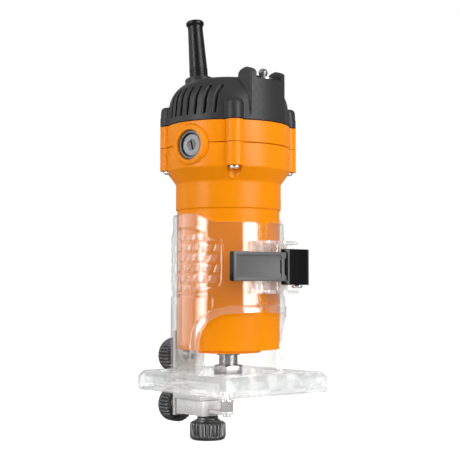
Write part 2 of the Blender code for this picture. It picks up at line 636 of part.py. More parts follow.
def build_spindle():
    shaft = turned("spindle_shaft", [
        (0, 171), (3.9, 171), (3.9, 142), (4.9, 142), (4.9, 42), (5.8, 41), (5.8, 12.0), (3.5, 12.0), (3.5, 20),
        (0, 20)], STEEL, segments=32)
    armature = turned("armature_core", [(17.4, 95), (17.4, 50), (5.2, 50), (5.2, 95)], STEEL, ring=True)
    winding = turned("armature_winding", [(15.5, 103), (15.5, 95.3), (5.2, 95.3), (5.2, 103)], COPPER,
                     ring=True, segments=32)
    commutator = turned("commutator", [(11.0, 157), (11.0, 145), (4.2, 145), (4.2, 157)], BRASS, ring=True,
                        segments=32)
    fan = turned("cooling_fan", [(9, 116), (27.0, 108.5), (27.0, 106.5), (5.2, 106.5), (5.2, 116)], BLACK,
                 ring=True, segments=32)
    nut = rod("collet_nut", (0, 0, 8.6), (0, 0, 15.6), 9.8, STEEL, segments=6)
    cut(nut, rod("nut_thread", (0, 0, 11.7), (0, 0, 30), 6.1), rod("nut_mouth", (0, 0, 0), (0, 0, 20), 3.4))
    collet = turned("collet", [(3.1, 19.5), (3.1, 9.2), (1.65, 9.2), (1.65, 19.5)], STEEL, ring=True,
                    segments=SMALL_SIDES)
    turn_about_axis(16.1, nut)
    moving_group("spindle_axis", (0, 0, 0), shaft, armature, winding, commutator, fan, nut, collet)
    return shaft


def build_switch():
    body = block("switch_body", (-7.5, -35.5, 172), (7.5, -19, 185), BLACK, bevel=0.5)
    lever = turned("switch_toggle", [
        (0, 199.8), (1.5, 199.4), (2.5, 198.4), (2.8, 197.2), (2.3, 195.6), (1.9, 193), (1.9, 190),
        (2.4, 188.6), (2.4, 186.6), (0, 185.4)], GREY, segments=24, centre=(0, SWITCH_Y))
    bezel = turned("switch_bezel", [(6.2, 193.6), (6.2, TOWER_TOP + GAP), (3.9, TOWER_TOP + GAP), (3.9, 193.6)],
                   STEEL, ring=True, segments=28, centre=(0, SWITCH_Y))
    bpy.context.view_layer.update()
    turn_about_axis(TOWER_TURN, body, lever, bezel)
    return body, lever, bezel


# ---- guide --------------------------------------------------------------------------------
def knob_profile(screw_length, screw_radius, knob_length):
    """Knob along +Z from its free end, with a stepped collar and a screw."""
    collar = knob_length + 4.2
    tip = collar + screw_length
    return [(0, tip), (screw_radius, tip), (screw_radius, collar), (6.4, collar), (6.9, knob_length + 1.6),
            (KNOB_RADIUS - 1.6, knob_length + 1.2), (KNOB_RADIUS, knob_length - 0.6), (KNOB_RADIUS, 1.2),
            (KNOB_RADIUS - 1.4, 0), (0, 0)]


def knob(name, profile, place):
    piece = turned(name, profile, BLACK, segments=SMALL_SIDES)
    piece.matrix_world = place
    return piece


def build_guide():
    holder = block("guide_holder", (-HOLDER_HALF, HOLDER_FRONT, HOLDER_BOTTOM),
                   (HOLDER_HALF, HOLDER_BACK, -0.4), CAST, upright_bevel=1.2)
    leg = block("holder_leg", (-HOLDER_HALF + 0.5, HOLDER_BACK - HOLDER_LEG, ARM_BOTTOM - 1.3),
                (HOLDER_HALF - 0.5, HOLDER_BACK - 0.05, HOLDER_TOP))
    join(holder, leg)
    slot = block("holder_slot", (-2.6, 40, CLAMP_KNOB_Z - 0.3), (2.6, 50, HOLDER_TOP - 4))
    slot_end = rod("slot_end", (0, 40, CLAMP_KNOB_Z), (0, 50, CLAMP_KNOB_Z), 2.6)
    cut(holder, slot, slot_end, rod("reach_bore", (0, 40, REACH_Z), (0, 50, REACH_Z), 2.4),
        rod("lock_bore", (0, LOCK_Y, -20), (0, LOCK_Y, -2.4), 2.4))

    top = HOLDER_BOTTOM - GAP
    arm = block("guide_arm", (-ARM_HALF, ARM_FRONT, ARM_BOTTOM), (ARM_HALF, ARM_BACK, top), CAST,
                upright_bevel=0.8)
    strap_low = -15.6
    strap_high = -13.6
    strap = block("strap", (-4.1, ROLLER_Y, strap_low), (4.1, ARM_FRONT + 1.2, strap_high))
    tip = rod("strap_tip", (0, ROLLER_Y, strap_low + 0.02), (0, ROLLER_Y, strap_high - 0.02), 4.4, segments=32)
    join(arm, strap, tip)
    travel = block("lock_slot", (-2.5, LOCK_Y - 2.6, -30), (2.5, LOCK_Y + REACH_TRAVEL + 2.7, 0))
    cut(arm, travel, rod("reach_thread", (0, 31.2, REACH_Z), (0, 60, REACH_Z), 2.3),
        rod("roller_bore", (0, ROLLER_Y, -20), (0, ROLLER_Y, -10), 1.4))

    roller = turned("guide_roller", [
        (4.85, -6.6), (4.85, -7.5), (ROLLER_RADIUS, -7.7), (ROLLER_RADIUS, strap_high + GAP),
        (1.5, strap_high + GAP), (1.5, -6.6)], STEEL, ring=True, segments=32, centre=(0, ROLLER_Y))
    pin = turned("roller_pin", [
        (0, -5.2), (2.2, -5.4), (2.2, -6.3), (1.2, -6.3), (1.2, strap_low - GAP), (2.5, strap_low - GAP),
        (2.5, -17.1), (0, -17.1)], STEEL, segments=SMALL_SIDES, centre=(0, ROLLER_Y))

    clamp_place = (Matrix.Translation((0, (HOLDER_BACK + GAP + 4.2 + KNOB_LENGTH) * MM, CLAMP_KNOB_Z * MM))
                   @ Matrix.Rotation(math.pi / 2, 4, "X"))
    knob("guide_clamp_knob", knob_profile(8.3, 2.2, KNOB_LENGTH), clamp_place)
    reach_place = (Matrix.Translation((0, (HOLDER_BACK + GAP + 4.2 + KNOB_LENGTH) * MM, REACH_Z * MM))
                   @ Matrix.Rotation(math.pi / 2, 4, "X"))
    reach = knob("reach_knob", knob_profile(13.4, 2.0, KNOB_LENGTH), reach_place)
    lock_foot = ARM_BOTTOM - GAP - 4.2 - KNOB_LENGTH
    lock_place = Matrix.Translation((0, LOCK_Y * MM, lock_foot * MM))
    lock = knob("lock_knob", knob_profile(13.6, 2.1, KNOB_LENGTH), lock_place)
    moving_group("guide_height_axis", (0, HOLDER_BACK, 0), holder, reach, lock)
    moving_group("guide_reach_axis", (0, ARM_BACK, REACH_Z), arm, pin, roller)


# ---- assembly -----------------------------------------------------------------------------
build_base()
build_clamp()
build_lever()
motor_pieces = [build_motor_housing(), build_brush_housing(), build_top_cover(), build_strain_relief()]
motor_pieces += build_screws() + build_brushes() + list(build_stator()) + list(build_switch())
motor_pieces.append(bearing("lower_bearing", 11.0, 6.1, 29.3, 37.6))
motor_pieces.append(bearing("upper_bearing", 9.6, 4.2, 158.2, 164.1))
motor_pieces.append(bearing("spindle_seal", 7.6, 6.1, 21.8, 28.6))
build_spindle()
build_guide()
moving_group("motor_axis", (0, 0, 0), *motor_pieces)
bpy.context.view_layer.update()
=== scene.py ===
"""Looks of the trim router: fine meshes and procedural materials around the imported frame.

Lengths are millimetres, turned into metres by MM.  The spindle axis is the Z axis, the plane of
the sole is z = 0, and angles round the axis are degrees from the front (-Y) towards +X.
"""
import math

import bmesh
import bpy
import numpy as np
from mathutils import Matrix, Vector


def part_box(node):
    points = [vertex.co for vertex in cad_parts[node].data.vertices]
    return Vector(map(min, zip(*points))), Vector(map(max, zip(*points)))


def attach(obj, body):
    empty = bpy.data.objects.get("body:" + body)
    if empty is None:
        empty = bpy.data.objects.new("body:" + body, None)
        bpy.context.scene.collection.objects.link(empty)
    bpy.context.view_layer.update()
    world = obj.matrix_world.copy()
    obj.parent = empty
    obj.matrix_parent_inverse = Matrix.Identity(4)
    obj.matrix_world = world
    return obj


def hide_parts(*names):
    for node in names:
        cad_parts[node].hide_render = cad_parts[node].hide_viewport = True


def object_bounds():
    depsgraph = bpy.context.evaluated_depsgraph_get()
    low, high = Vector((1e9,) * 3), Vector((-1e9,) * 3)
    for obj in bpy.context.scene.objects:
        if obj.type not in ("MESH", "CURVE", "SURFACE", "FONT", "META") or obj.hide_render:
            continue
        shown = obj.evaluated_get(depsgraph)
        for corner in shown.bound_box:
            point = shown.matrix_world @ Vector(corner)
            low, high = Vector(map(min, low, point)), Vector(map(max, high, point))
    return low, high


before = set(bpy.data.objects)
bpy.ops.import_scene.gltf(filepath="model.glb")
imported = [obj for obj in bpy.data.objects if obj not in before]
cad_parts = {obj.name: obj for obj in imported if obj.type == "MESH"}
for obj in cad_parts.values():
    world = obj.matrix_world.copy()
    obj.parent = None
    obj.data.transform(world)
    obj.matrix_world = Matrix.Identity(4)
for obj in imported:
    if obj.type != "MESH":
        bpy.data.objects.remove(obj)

CAD_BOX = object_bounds()
MM = 0.001


def node_box(node):
    low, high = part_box(node)
    return low / MM, high / MM


BASE_LOW, BASE_HIGH = node_box("base_housing")
RING_LOW, RING_HIGH = node_box("brush_housing")
COVER_LOW = node_box("top_cover")[0]
LEVER_LOW, LEVER_HIGH = node_box("clamp_lever")
PANEL_LOW, PANEL_HIGH = node_box("lever_cover")
HOLDER_LOW, HOLDER_HIGH = node_box("guide_holder")
ARM_LOW, ARM_HIGH = node_box("guide_arm")

# ---- driving dimensions -------------------------------------------------------------------
MOTOR_RADIUS = 32.5
FLANGE_RADIUS = 33.4
FLANGE_BOTTOM = 113.2
FLANGE_TOP = 129.5
HEAD_RADIUS = 39.3
HEAD_WALL = 2.5
CONE_TOP = 137.5
NOSE_RADIUS = 20.6
NOSE_FOOT = 23.6
BOSS_RADIUS = 5.5
BOSS_CIRCLE = 38.0
BOSS_BOTTOM = 138.0
BOSS_TOP = 178.4
BOSS_ANGLES = [-32.9 + 90 * k for k in range(4)]
BRUSH_ANGLES = {"left": -75.5, "right": 104.5}
BRUSH_HEIGHT = 151.5
BRUSH_BOSS_RADIUS = 12.6
BRUSH_BOSS_FACE = 40.4
DOME_RADIUS = 38.1
DOME_TOP = 195.4
DOME_ROUND = 19.0
TOWER_TURN = 4.0
TOWER_HALF = 14.7
TOWER_TOP = 192.5
TOWER_BACK = -12.0
GUARD_TOP = 199.8
GUARD_THICKNESS = 4.2
GUARD_BACK = -23.8
BAY_BACK = -25.6
SWITCH_Y = -31.9
COLLAR_TOP = 202.6
BOOT_Y = 31.2
BOOT_TILT = 7.0
BOOT_LENGTH = 39.6
SLEEVE_BORE = 32.8
SLEEVE_RADIUS = 35.2
SLEEVE_FRONT_TOP = 104.2
SLEEVE_BACK_TOP = BASE_HIGH.z - 1.7
WINDOW_SIDE = -11.5
WINDOW_FRONT = -31.0
WINDOW_SHOULDER = 29.0
BAND_BOTTOM = 48.9
SLIT_HALF = 2.2
PLATE_THICKNESS = 12.0
PLATE_FRONT = BASE_LOW.y
PLATE_RIM = 5.0
PLATE_FLOOR = 4.0
PLATE_HUB = 38.6
PLATE_OPENING = 24.0
PLATE_HOLES = [(x, y) for y in (-40, 36) for x in (-33, 33)]
RIB_PLACES = (-21.0, -7.0, 7.0, 21.0)
LUG_LOW = 60.7
LUG_HIGH = 92.4
LUG_SHELF = 2.0
CLAMP_Z = 76.8
CAM = Vector((20.3, -42.5, CLAMP_Z))
RECESS_DEPTH = 0.95
KNOB_RADIUS = 11.6
KNOB_LENGTH = 11.0
KNOB_COLLAR = 4.2
REACH_Z = -13.2
CLAMP_KNOB_Z = 19.3
LOCK_Y = 21.3
ROLLER_Y = 1.7


# ---- mesh helpers -------------------------------------------------------------------------
def polar(angle, radius, z=0.0):
    turn = math.radians(angle)
    return Vector((radius * math.sin(turn), -radius * math.cos(turn), z))


def shift(x, y, z):
    return Matrix.Translation((x * MM, y * MM, z * MM))


def rotation(angle, axis="Z"):
    return Matrix.Rotation(math.radians(angle), 4, axis)


def smooth_step(low, high, value):
    t = np.clip((value - low) / (high - low), 0.0, 1.0)
    return t * t * (3 - 2 * t)


def add_object(name, mesh):
    obj = bpy.data.objects.new(name, mesh)
    bpy.context.scene.collection.objects.link(obj)
    return obj


def object_from(bm, name):
    bmesh.ops.recalc_face_normals(bm, faces=bm.faces)
    if bm.calc_volume(signed=True) < 0:
        bmesh.ops.reverse_faces(bm, faces=bm.faces)
    mesh = bpy.data.meshes.new(name)
    bm.to_mesh(mesh)
    bm.free()
    return add_object(name, mesh)


def rounded_path(points, radius, closed=False, steps=4):
    """The same path with each corner turned into a curve that starts so far from it."""
    count = len(points)
    path = []
    for i, point in enumerate(points):
        if not closed and i in (0, count - 1):
            path.append(tuple(point))
            continue
        here = Vector(point)
        before = Vector(points[i - 1]) - here
        after = Vector(points[(i + 1) % count]) - here
        reach = min(radius, before.length * 0.45, after.length * 0.45)
        start = here + before.normalized() * reach
        end = here + after.normalized() * reach
        for k in range(steps + 1):
            t = k / steps
            path.append(tuple(start * (1 - t) ** 2 + here * 2 * t * (1 - t) + end * t ** 2))
    return path


def rounded_rectangle(x0, y0, x1, y1, radius):
    return rounded_path([(x0, y0), (x1, y0), (x1, y1), (x0, y1)], radius, closed=True)


def stack_loops(bm, loops):
    """Joins loops with the same number of points into one closed skin."""
    bm.faces.new(loops[0][::-1])
    bm.faces.new(loops[-1])
    count = len(loops[0])
    for low, high in zip(loops, loops[1:]):
        for k in range(count):
            after = (k + 1) % count
            bm.faces.new((low[k], low[after], high[after], high[k]))


def lathe(name, profile, segments=96, ring=False, place=None, soft=0.0):
    """A solid of revolution about Z; soft rounds the profile's corners."""
    if soft:
        profile = rounded_path(profile, soft, closed=ring)
    bm = bmesh.new()
    verts = [bm.verts.new((r * MM, 0, z * MM)) for r, z in profile]
    edges = [bm.edges.new(pair) for pair in zip(verts, verts[1:])]
    if ring:
        edges.append(bm.edges.new((verts[-1], verts[0])))
    bmesh.ops.spin(bm, geom=verts + edges, axis=(0, 0, 1), cent=(0, 0, 0), angle=2 * math.pi,
                   steps=segments, use_merge=True)
    bmesh.ops.remove_doubles(bm, verts=bm.verts, dist=1e-7)
    if place is not None:
        bm.transform(place)
    return object_from(bm, name)


def rod(name, start, end, radius, segments=48, soft=0.0):
    start = Vector(start)
    end = Vector(end)
    along = end - start
    bm = bmesh.new()
    bmesh.ops.create_cone(bm, cap_ends=True, segments=segments, radius1=radius * MM, radius2=radius * MM,
                          depth=along.length * MM)
    if soft:
        rims = [e for e in bm.edges if abs(e.verts[0].co.z - e.verts[1].co.z) < 1e-9]
        bmesh.ops.bevel(bm, geom=rims, offset=soft * MM, segments=3, profile=0.5, affect="EDGES")
    middle = Matrix.Translation((start + end) / 2 * MM)
    bm.transform(middle @ along.to_track_quat("Z", "Y").to_matrix().to_4x4())
    return object_from(bm, name)


def block(name, low, high, soft=0.0):
    bm = bmesh.new()
    bmesh.ops.create_cube(bm, size=1.0)
    size = [(b - a) * MM for a, b in zip(low, high)]
    middle = [(a + b) / 2 * MM for a, b in zip(low, high)]
    bm.transform(Matrix.Translation(middle) @ Matrix.Diagonal((*size, 1.0)))
    if soft:
        bmesh.ops.bevel(bm, geom=bm.edges[:], offset=soft * MM, segments=3, profile=0.5, affect="EDGES")
    return object_from(bm, name)


def prism(name, outline, axis, low, high):
    """An outline pushed along an axis.  Its points are (y, z) for X, (x, z) for Y and (x, y) for Z."""
    order = {"X": lambda a, b, c: (c, a, b), "Y": lambda a, b, c: (a, c, b),
             "Z": lambda a, b, c: (a, b, c)}[axis]
    bm = bmesh.new()
    face = bm.faces.new([bm.verts.new(Vector(order(a, b, low)) * MM) for a, b in outline])
    moved = bmesh.ops.extrude_face_region(bm, geom=[face])["geom"]
    tops = [v for v in moved if isinstance(v, bmesh.types.BMVert)]
    bmesh.ops.translate(bm, verts=tops, vec=Vector(order(0, 0, high - low)) * MM)
    return object_from(bm, name)


def turn_about_axis(angle, *objects):
    for obj in objects:
        obj.data.transform(rotation(angle))


def bake(obj, *helpers):
    """Applies the modifiers and removes the helper shapes."""
    evaluated = obj.evaluated_get(bpy.context.evaluated_depsgraph_get())
    mesh = bpy.data.meshes.new_from_object(evaluated)
    mesh.name = obj.name
    obj.modifiers.clear()
    obj.data = mesh
    for helper in helpers:
        bpy.data.objects.remove(helper, do_unlink=True)
    return obj


def combine(obj, operation, *helpers):
    for helper in helpers:
        boolean = obj.modifiers.new("combine", "BOOLEAN")
        boolean.operation = operation
        boolean.solver = "EXACT"
        boolean.object = helper
    return bake(obj, *helpers)


def join(obj, *helpers):
    return combine(obj, "UNION", *helpers)


def cut(obj, *helpers):
    return combine(obj, "DIFFERENCE", *helpers)


def soften(obj, width):
    bevel = obj.modifiers.new("edges", "BEVEL")
    bevel.width = width * MM
    bevel.segments = 2
    bevel.limit_method = "ANGLE"
    bevel.angle_limit = math.radians(35)
    bevel.use_clamp_overlap = True
    return bake(obj)


def moulded(obj, voxel, rounds):
    """Melts the joined shapes into one skin with small fillets."""
    remesh = obj.modifiers.new("skin", "REMESH")
    remesh.mode = "VOXEL"
    remesh.voxel_size = voxel * MM
    smooth = obj.modifiers.new("fillets", "SMOOTH")
    smooth.factor = 0.5
    smooth.iterations = rounds
    return bake(obj)


def dress(obj, finishes, body, slot, *nodes, crease=30):
    """Gives a piece its materials, the body that it rides on and the CAD nodes that it stands for."""
    obj.data.materials.clear()
    for finish in finishes if isinstance(finishes, (list, tuple)) else [finishes]:
        obj.data.materials.append(finish)
    obj.data.shade_smooth()
    obj.data.set_sharp_from_angle(angle=math.radians(crease))
    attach(obj, body)
    if nodes:
        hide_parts(*nodes)
    return obj


# ---- materials ----------------------------------------------------------------------------
WHITE = (1.0, 1.0, 1.0, 1.0)


def rgba(colour):
    return (*colour, 1.0)


def shade(colour, factor):
    return tuple(min(c * factor, 1.0) for c in colour)


class Graph:
    """The node tree of a material or a world, under construction."""

    def __init__(self, owner):
        owner.use_nodes = True
        self.tree = owner.node_tree

    def fill(self, node, values):
        """Gives each named input its value, or a link when the value is another node's output."""
        for key, value in values.items():
            if isinstance(value, bpy.types.NodeSocket):
                self.tree.links.new(value, node.inputs[key])
            else:
                node.inputs[key].default_value = value
        return node

    def add(self, kind, values=None, **settings):
        node = self.tree.nodes.new(kind)
        for key, value in settings.items():
            setattr(node, key, value)
        return self.fill(node, values or {})

    def spread(self, value, low, high, start=0.3, end=0.7):
        return self.add("ShaderNodeMapRange", {"Value": value, "From Min": start, "From Max": end,
                                               "To Min": low, "To Max": high}).outputs["Result"]

    def seen_directly(self):
        """One for the camera's rays, straight or through clear plastic, and zero for lighting."""
        rays = self.add("ShaderNodeLightPath").outputs
        return self.add("ShaderNodeMath", {0: rays["Is Camera Ray"], 1: rays["Is Transmission Ray"]},
                        operation="MAXIMUM").outputs[0]


class Surface(Graph):
    """A material, with object coordinates in metres."""

    def __init__(self, name):
        self.material = bpy.data.materials.new(name)
        super().__init__(self.material)
        self.shader = self.tree.nodes["Principled BSDF"]
        self.output = self.tree.nodes["Material Output"]
        self.place = self.add("ShaderNodeTexCoord").outputs["Object"]

    def noise(self, scale, detail=2.0, stretch=(1, 1, 1)):
        mapping = self.add("ShaderNodeMapping", {"Scale": stretch, "Vector": self.place})
        return self.add("ShaderNodeTexNoise", {"Scale": scale, "Detail": detail,
                                               "Vector": mapping.outputs["Vector"]}).outputs["Fac"]

    def blend_colours(self, value, dark, light):
        return self.add("ShaderNodeMix", {"Factor": value, "A": rgba(dark), "B": rgba(light)},
                        data_type="RGBA").outputs["Result"]

    def bump(self, height, strength, distance):
        return self.add("ShaderNodeBump", {"Strength": strength, "Distance": distance * MM,
                                           "Height": height}).outputs["Normal"]

    def see_through(self, tint):
        return self.add("ShaderNodeBsdfTransparent", {"Color": rgba(tint)}).outputs[0]

    def milk(self, colour):
        return self.add("ShaderNodeBsdfDiffuse", {"Color": rgba(colour)}).outputs[0]

    def mix(self, share, first, second):
        """Two shaders, with this share of the second."""
        return self.add("ShaderNodeMixShader", {"Fac": share, 1: first, 2: second}).outputs[0]


def plain_finish(name, colour, roughness, metallic=0.0, tone=0.07, grain=0.25, grain_scale=1400.0,
                 grain_depth=0.08, stretch=(1, 1, 1), coat=0.0, spread=0.07, specular=0.5):
    """Colour with a slow drift of tone, uneven roughness and a fine surface grain."""
    s = Surface(name)
    drift = s.spread(s.noise(55.0, 3.0), 0.0, 1.0)
    s.fill(s.shader, {
        "Base Color": s.blend_colours(drift, shade(colour, 1 - tone), shade(colour, 1 + tone)),
        "Roughness": s.spread(s.noise(420.0, 3.0, stretch), roughness - spread, roughness + spread),
        "Normal": s.bump(s.noise(grain_scale, 2.0, stretch), grain, grain_depth),
        "Metallic": metallic, "Coat Weight": coat, "Coat Roughness": 0.12, "Specular IOR Level": specular})
    return s.material


def clear_finish(name, front, edge, haze):
    """Thin clear plastic: see-through, glossier at a slant, with a little milkiness."""
    s = Surface(name)
    facing = s.add("ShaderNodeLayerWeight", {"Blend": 0.5}).outputs["Facing"]
    slant = s.add("ShaderNodeMath", {0: facing, 1: 2.6}, operation="POWER").outputs[0]
    gloss = s.add("ShaderNodeBsdfGlossy", {
        "Color": WHITE, "Roughness": s.spread(s.noise(260.0), 0.03, 0.1),
        "Normal": s.bump(s.noise(90.0), 0.06, 0.3)}).outputs[0]
    clear = s.mix(s.spread(slant, front, edge, 0.0, 1.0), s.see_through((0.955, 0.95, 0.94)), gloss)
    share = s.spread(s.noise(120.0, 3.0), haze * 0.75, haze * 1.25)
    s.fill(s.output, {"Surface": s.mix(share, clear, s.milk((0.96, 0.97, 0.98)))})
    s.tree.nodes.remove(s.shader)
    return s.material


def thick_clear_finish(name):
    """Solid clear moulding that bends light and lets lamps through."""
    s = Surface(name)
    s.fill(s.shader, {
        "Base Color": (0.98, 0.985, 0.985, 1.0), "Transmission Weight": 1.0, "IOR": 1.45,
        "Roughness": s.spread(s.noise(300.0), 0.0, 0.05), "Normal": s.bump(s.noise(60.0), 0.2, 0.5)})
    through = s.see_through((0.93, 0.94, 0.94))
    straight = s.mix(s.spread(s.noise(70.0, 3.0), 0.1, 0.22), through, s.milk((0.97, 0.975, 0.98)))
    bent = s.mix(0.5, s.shader.outputs[0], straight)
    shadow = s.add("ShaderNodeLightPath").outputs["Is Shadow Ray"]
    s.fill(s.output, {"Surface": s.mix(shadow, bent, through)})
    return s.material


def striped_finish(name, dark, light, roughness, metallic, scale, direction="Z", strength=0.5):
    """Turns of wire, sheet stacks and machined rings: fine stripes across one direction."""
    s = Surface(name)
    stripe = s.add("ShaderNodeTexWave", {"Scale": scale, "Distortion": 0.4, "Vector": s.place},
                   bands_direction=direction).outputs["Fac"]
    s.fill(s.shader, {
        "Base Color": s.blend_colours(stripe, dark, light), "Normal": s.bump(stripe, strength, 0.15),
        "Roughness": s.spread(s.noise(500.0), roughness - 0.06, roughness + 0.06), "Metallic": metallic})
    return s.material


def speckled_finish(name, dark, light, roughness, scale, depth=0.1, metallic=0.0):
    """Moulded fibre or sand-blasted metal: two tones in fine speckles."""
    s = Surface(name)
    speck = s.noise(scale, 4.0)
    s.fill(s.shader, {
        "Base Color": s.blend_colours(s.spread(speck, 0.0, 1.0, 0.4, 0.6), dark, light),
        "Roughness": s.spread(s.noise(scale * 0.5), roughness - 0.08, roughness + 0.08),
        "Normal": s.bump(speck, 0.5, depth), "Metallic": metallic, "Specular IOR Level": 0.2})
    return s.material


ORANGE = plain_finish("orange_plastic", (0.95, 0.285, 0.0004), 0.34, tone=0.02, grain=0.3,
                      grain_scale=2200.0, grain_depth=0.04, specular=0.08)
CHARCOAL = plain_finish("charcoal_plastic", (0.028, 0.028, 0.029), 0.46, tone=0.06, grain=0.4,
                        grain_scale=2600.0, grain_depth=0.04, specular=0.12)
BLACK = plain_finish("black_plastic", (0.0035, 0.0035, 0.004), 0.2, tone=0.15, grain=0.08,
                     grain_depth=0.03, specular=0.12, spread=0.03)
KNOB_BLACK = plain_finish("knob_plastic", (0.03, 0.03, 0.031), 0.3, tone=0.12, grain=0.3)
HOLDER_BLACK = plain_finish("brush_holder_plastic", (0.02, 0.021, 0.023), 0.38, tone=0.12, grain=0.3)
RUBBER = plain_finish("boot_rubber", (0.008, 0.008, 0.0085), 0.3, tone=0.2, grain=0.2, grain_scale=900.0,
                      grain_depth=0.08, specular=0.12)
CLEAR = clear_finish("clear_sleeve", 0.028, 0.55, 0.004)
# Milky haze on cut faces, lugs and the rear boss is a painted highlight, standing in for light piped along
# the clear edges.
CLEAR_EDGE_PAINTED_HIGHLIGHT = clear_finish("clear_edge_painted_highlight", 0.1, 0.7, 0.22)
# Haze on the window's lip is a painted highlight for the bright band of its thick clear edge.
CLEAR_LIP_PAINTED_HIGHLIGHT = clear_finish("clear_lip_painted_highlight", 0.06, 0.6, 0.1)
CLEAR_TILE = clear_finish("clear_grip_tile", 0.04, 0.6, 0.12)
NUT_STEEL = plain_finish("nut_steel", (0.2, 0.2, 0.205), 0.3, metallic=0.25, tone=0.08, grain=0.12)
THICK_CLEAR = thick_clear_finish("clear_plate")
CAST = speckled_finish("blasted_casting", (0.5, 0.5, 0.495), (0.72, 0.72, 0.71), 0.5, 1700.0, 0.04,
                       metallic=0.15)
STEEL = plain_finish("steel", (0.3, 0.3, 0.305), 0.22, metallic=1.0, tone=0.08, grain=0.12,
                     grain_scale=900.0, stretch=(1, 1, 12))
BRIGHT_STEEL = plain_finish("plated_steel", (0.80, 0.80, 0.80), 0.14, metallic=1.0, tone=0.05, grain=0.08)
LEVER_GREY = speckled_finish("lever_grey", (0.12, 0.12, 0.122), (0.15, 0.15, 0.152), 0.42, 1500.0, 0.04)
LEVER_PANEL = striped_finish("lever_panel", (0.07, 0.07, 0.072), (0.105, 0.105, 0.107), 0.5, 0.0, 900.0,
                             strength=0.25)
CAP_GREY = speckled_finish("brush_cap_grey", (0.24, 0.24, 0.25), (0.52, 0.52, 0.53), 0.42, 2300.0)
CAP_DARK = speckled_finish("brush_cap_dark", (0.12, 0.12, 0.125), (0.22, 0.22, 0.225), 0.4, 2300.0)
TOGGLE_GREY = plain_finish("toggle_grey", (0.10, 0.10, 0.105), 0.3, tone=0.1, grain=0.2, coat=0.3)
COPPER = striped_finish("copper_windings", (0.45, 0.16, 0.05), (0.78, 0.33, 0.13), 0.35, 1.0, 420.0)
STACK = striped_finish("sheet_stack", (0.32, 0.32, 0.33), (0.55, 0.55, 0.56), 0.4, 1.0, 320.0)
BRASS = striped_finish("commutator_bars", (0.48, 0.26, 0.10), (0.80, 0.52, 0.22), 0.35, 1.0, 260.0, "X")
CARBON = speckled_finish("carbon", (0.02, 0.02, 0.022), (0.07, 0.07, 0.075), 0.7, 1800.0)
BEARING_STEEL = striped_finish("bearing_steel", (0.5, 0.5, 0.51), (0.72, 0.72, 0.73), 0.25, 1.0, 150.0)


# ---- clear base ---------------------------------------------------------------------------
def distance_to_path(y, z, path):
    """The distance of each point from a path in the YZ plane."""
    best = np.full(y.shape, 1e9)
    for (ya, za), (yb, zb) in zip(path, path[1:]):
        length = (yb - ya) ** 2 + (zb - za) ** 2
        t = np.clip(((y - ya) * (yb - ya) + (z - za) * (zb - za)) / length, 0, 1)
        best = np.minimum(best, np.hypot(y - ya - t * (yb - ya), z - za - t * (zb - za)))
    return best


def window_path():
    """Up the window's side and over its quarter ellipse to the band's lower edge."""
    steps = 24
    path = [(WINDOW_SIDE, 0.0), (WINDOW_SIDE, WINDOW_SHOULDER)]
    for i in range(1, steps + 1):
        turn = math.pi / 2 * i / steps
        path.append((WINDOW_SIDE + (WINDOW_FRONT - WINDOW_SIDE) * (1 - math.cos(turn)),
                     WINDOW_SHOULDER + (BAND_BOTTOM - WINDOW_SHOULDER) * math.sin(turn)))
    return path + [(-60.0, BAND_BOTTOM)]


def grip_fields(angle, z):
    """How far inside its grip patch each point lies, and how near the middle of a tile."""
    side = SLEEVE_RADIUS * np.radians(np.abs(angle) - 90)
    half = SLEEVE_RADIUS * math.radians(46.5)
    corner = 5.0
    lean = smooth_step(0.15, 1.0, np.abs(side) / half)
    across = half - np.abs(side)
    upright = np.minimum(101.4 - 6.4 * lean - z, z - 59.5 - 4.5 * lean)
    into_corner = np.hypot(np.maximum(corner - across, 0), np.maximum(corner - upright, 0))
    inside = np.where(np.minimum(across, upright) < corner, corner - into_corner, np.minimum(across, upright))
    row_pitch = 6.3
    column_pitch = 7.4
    row = np.floor((z - 60.0) / row_pitch)
    up = (z - 60.0) / row_pitch - row - 0.5
    along = side / column_pitch + 0.5 * (row % 2) + 0.28 * up
    along = along - np.floor(along) - 0.5
    tile = np.maximum(np.abs(along) / 0.33, np.abs(up) / 0.36)
    return inside, np.where(inside > 2.4, tile, 9.0)


def sleeve_outside(angle, z):
    """Radius of the sleeve's outer face, with the grips, the skirt and the window's lip."""
    y = -SLEEVE_RADIUS * np.cos(np.radians(angle))
    inside, tile = grip_fields(angle, z)
    pad = 0.65 * smooth_step(0.0, 0.7, inside) + 0.35 * np.exp(-((inside - 0.8) / 0.55) ** 2)
    pad = pad + 0.3 * np.clip((1 - tile) * 3.5, 0, 1)
    skirt = 1.2 * smooth_step(60.5, 57.5, z) * smooth_step(52.0, 56.0, np.abs(angle))
    rim = distance_to_path(y, z, window_path())
    lip = 1.5 * smooth_step(5.0, 4.2, rim) + 0.2 * np.exp(-((rim - 4.2) / 0.5) ** 2)
    return SLEEVE_RADIUS + np.maximum(np.maximum(pad, skirt), lip)


def sleeve_top(angle):
    """Height of the top edge, which dips in a wave towards the front."""
    y = -SLEEVE_RADIUS * np.cos(np.radians(angle))
    return SLEEVE_FRONT_TOP + (SLEEVE_BACK_TOP - SLEEVE_FRONT_TOP) * smooth_step(-23.1, -7.3, y)


def window_top(angle):
    """Height of the sleeve's lower edge over the viewing window."""
    y = -SLEEVE_RADIUS * np.cos(np.radians(angle))
    share = np.clip((WINDOW_SIDE - y) / (WINDOW_SIDE - WINDOW_FRONT), 0, 1)
    return WINDOW_SHOULDER + (BAND_BOTTOM - WINDOW_SHOULDER) * np.sqrt(1 - (1 - share) ** 2)


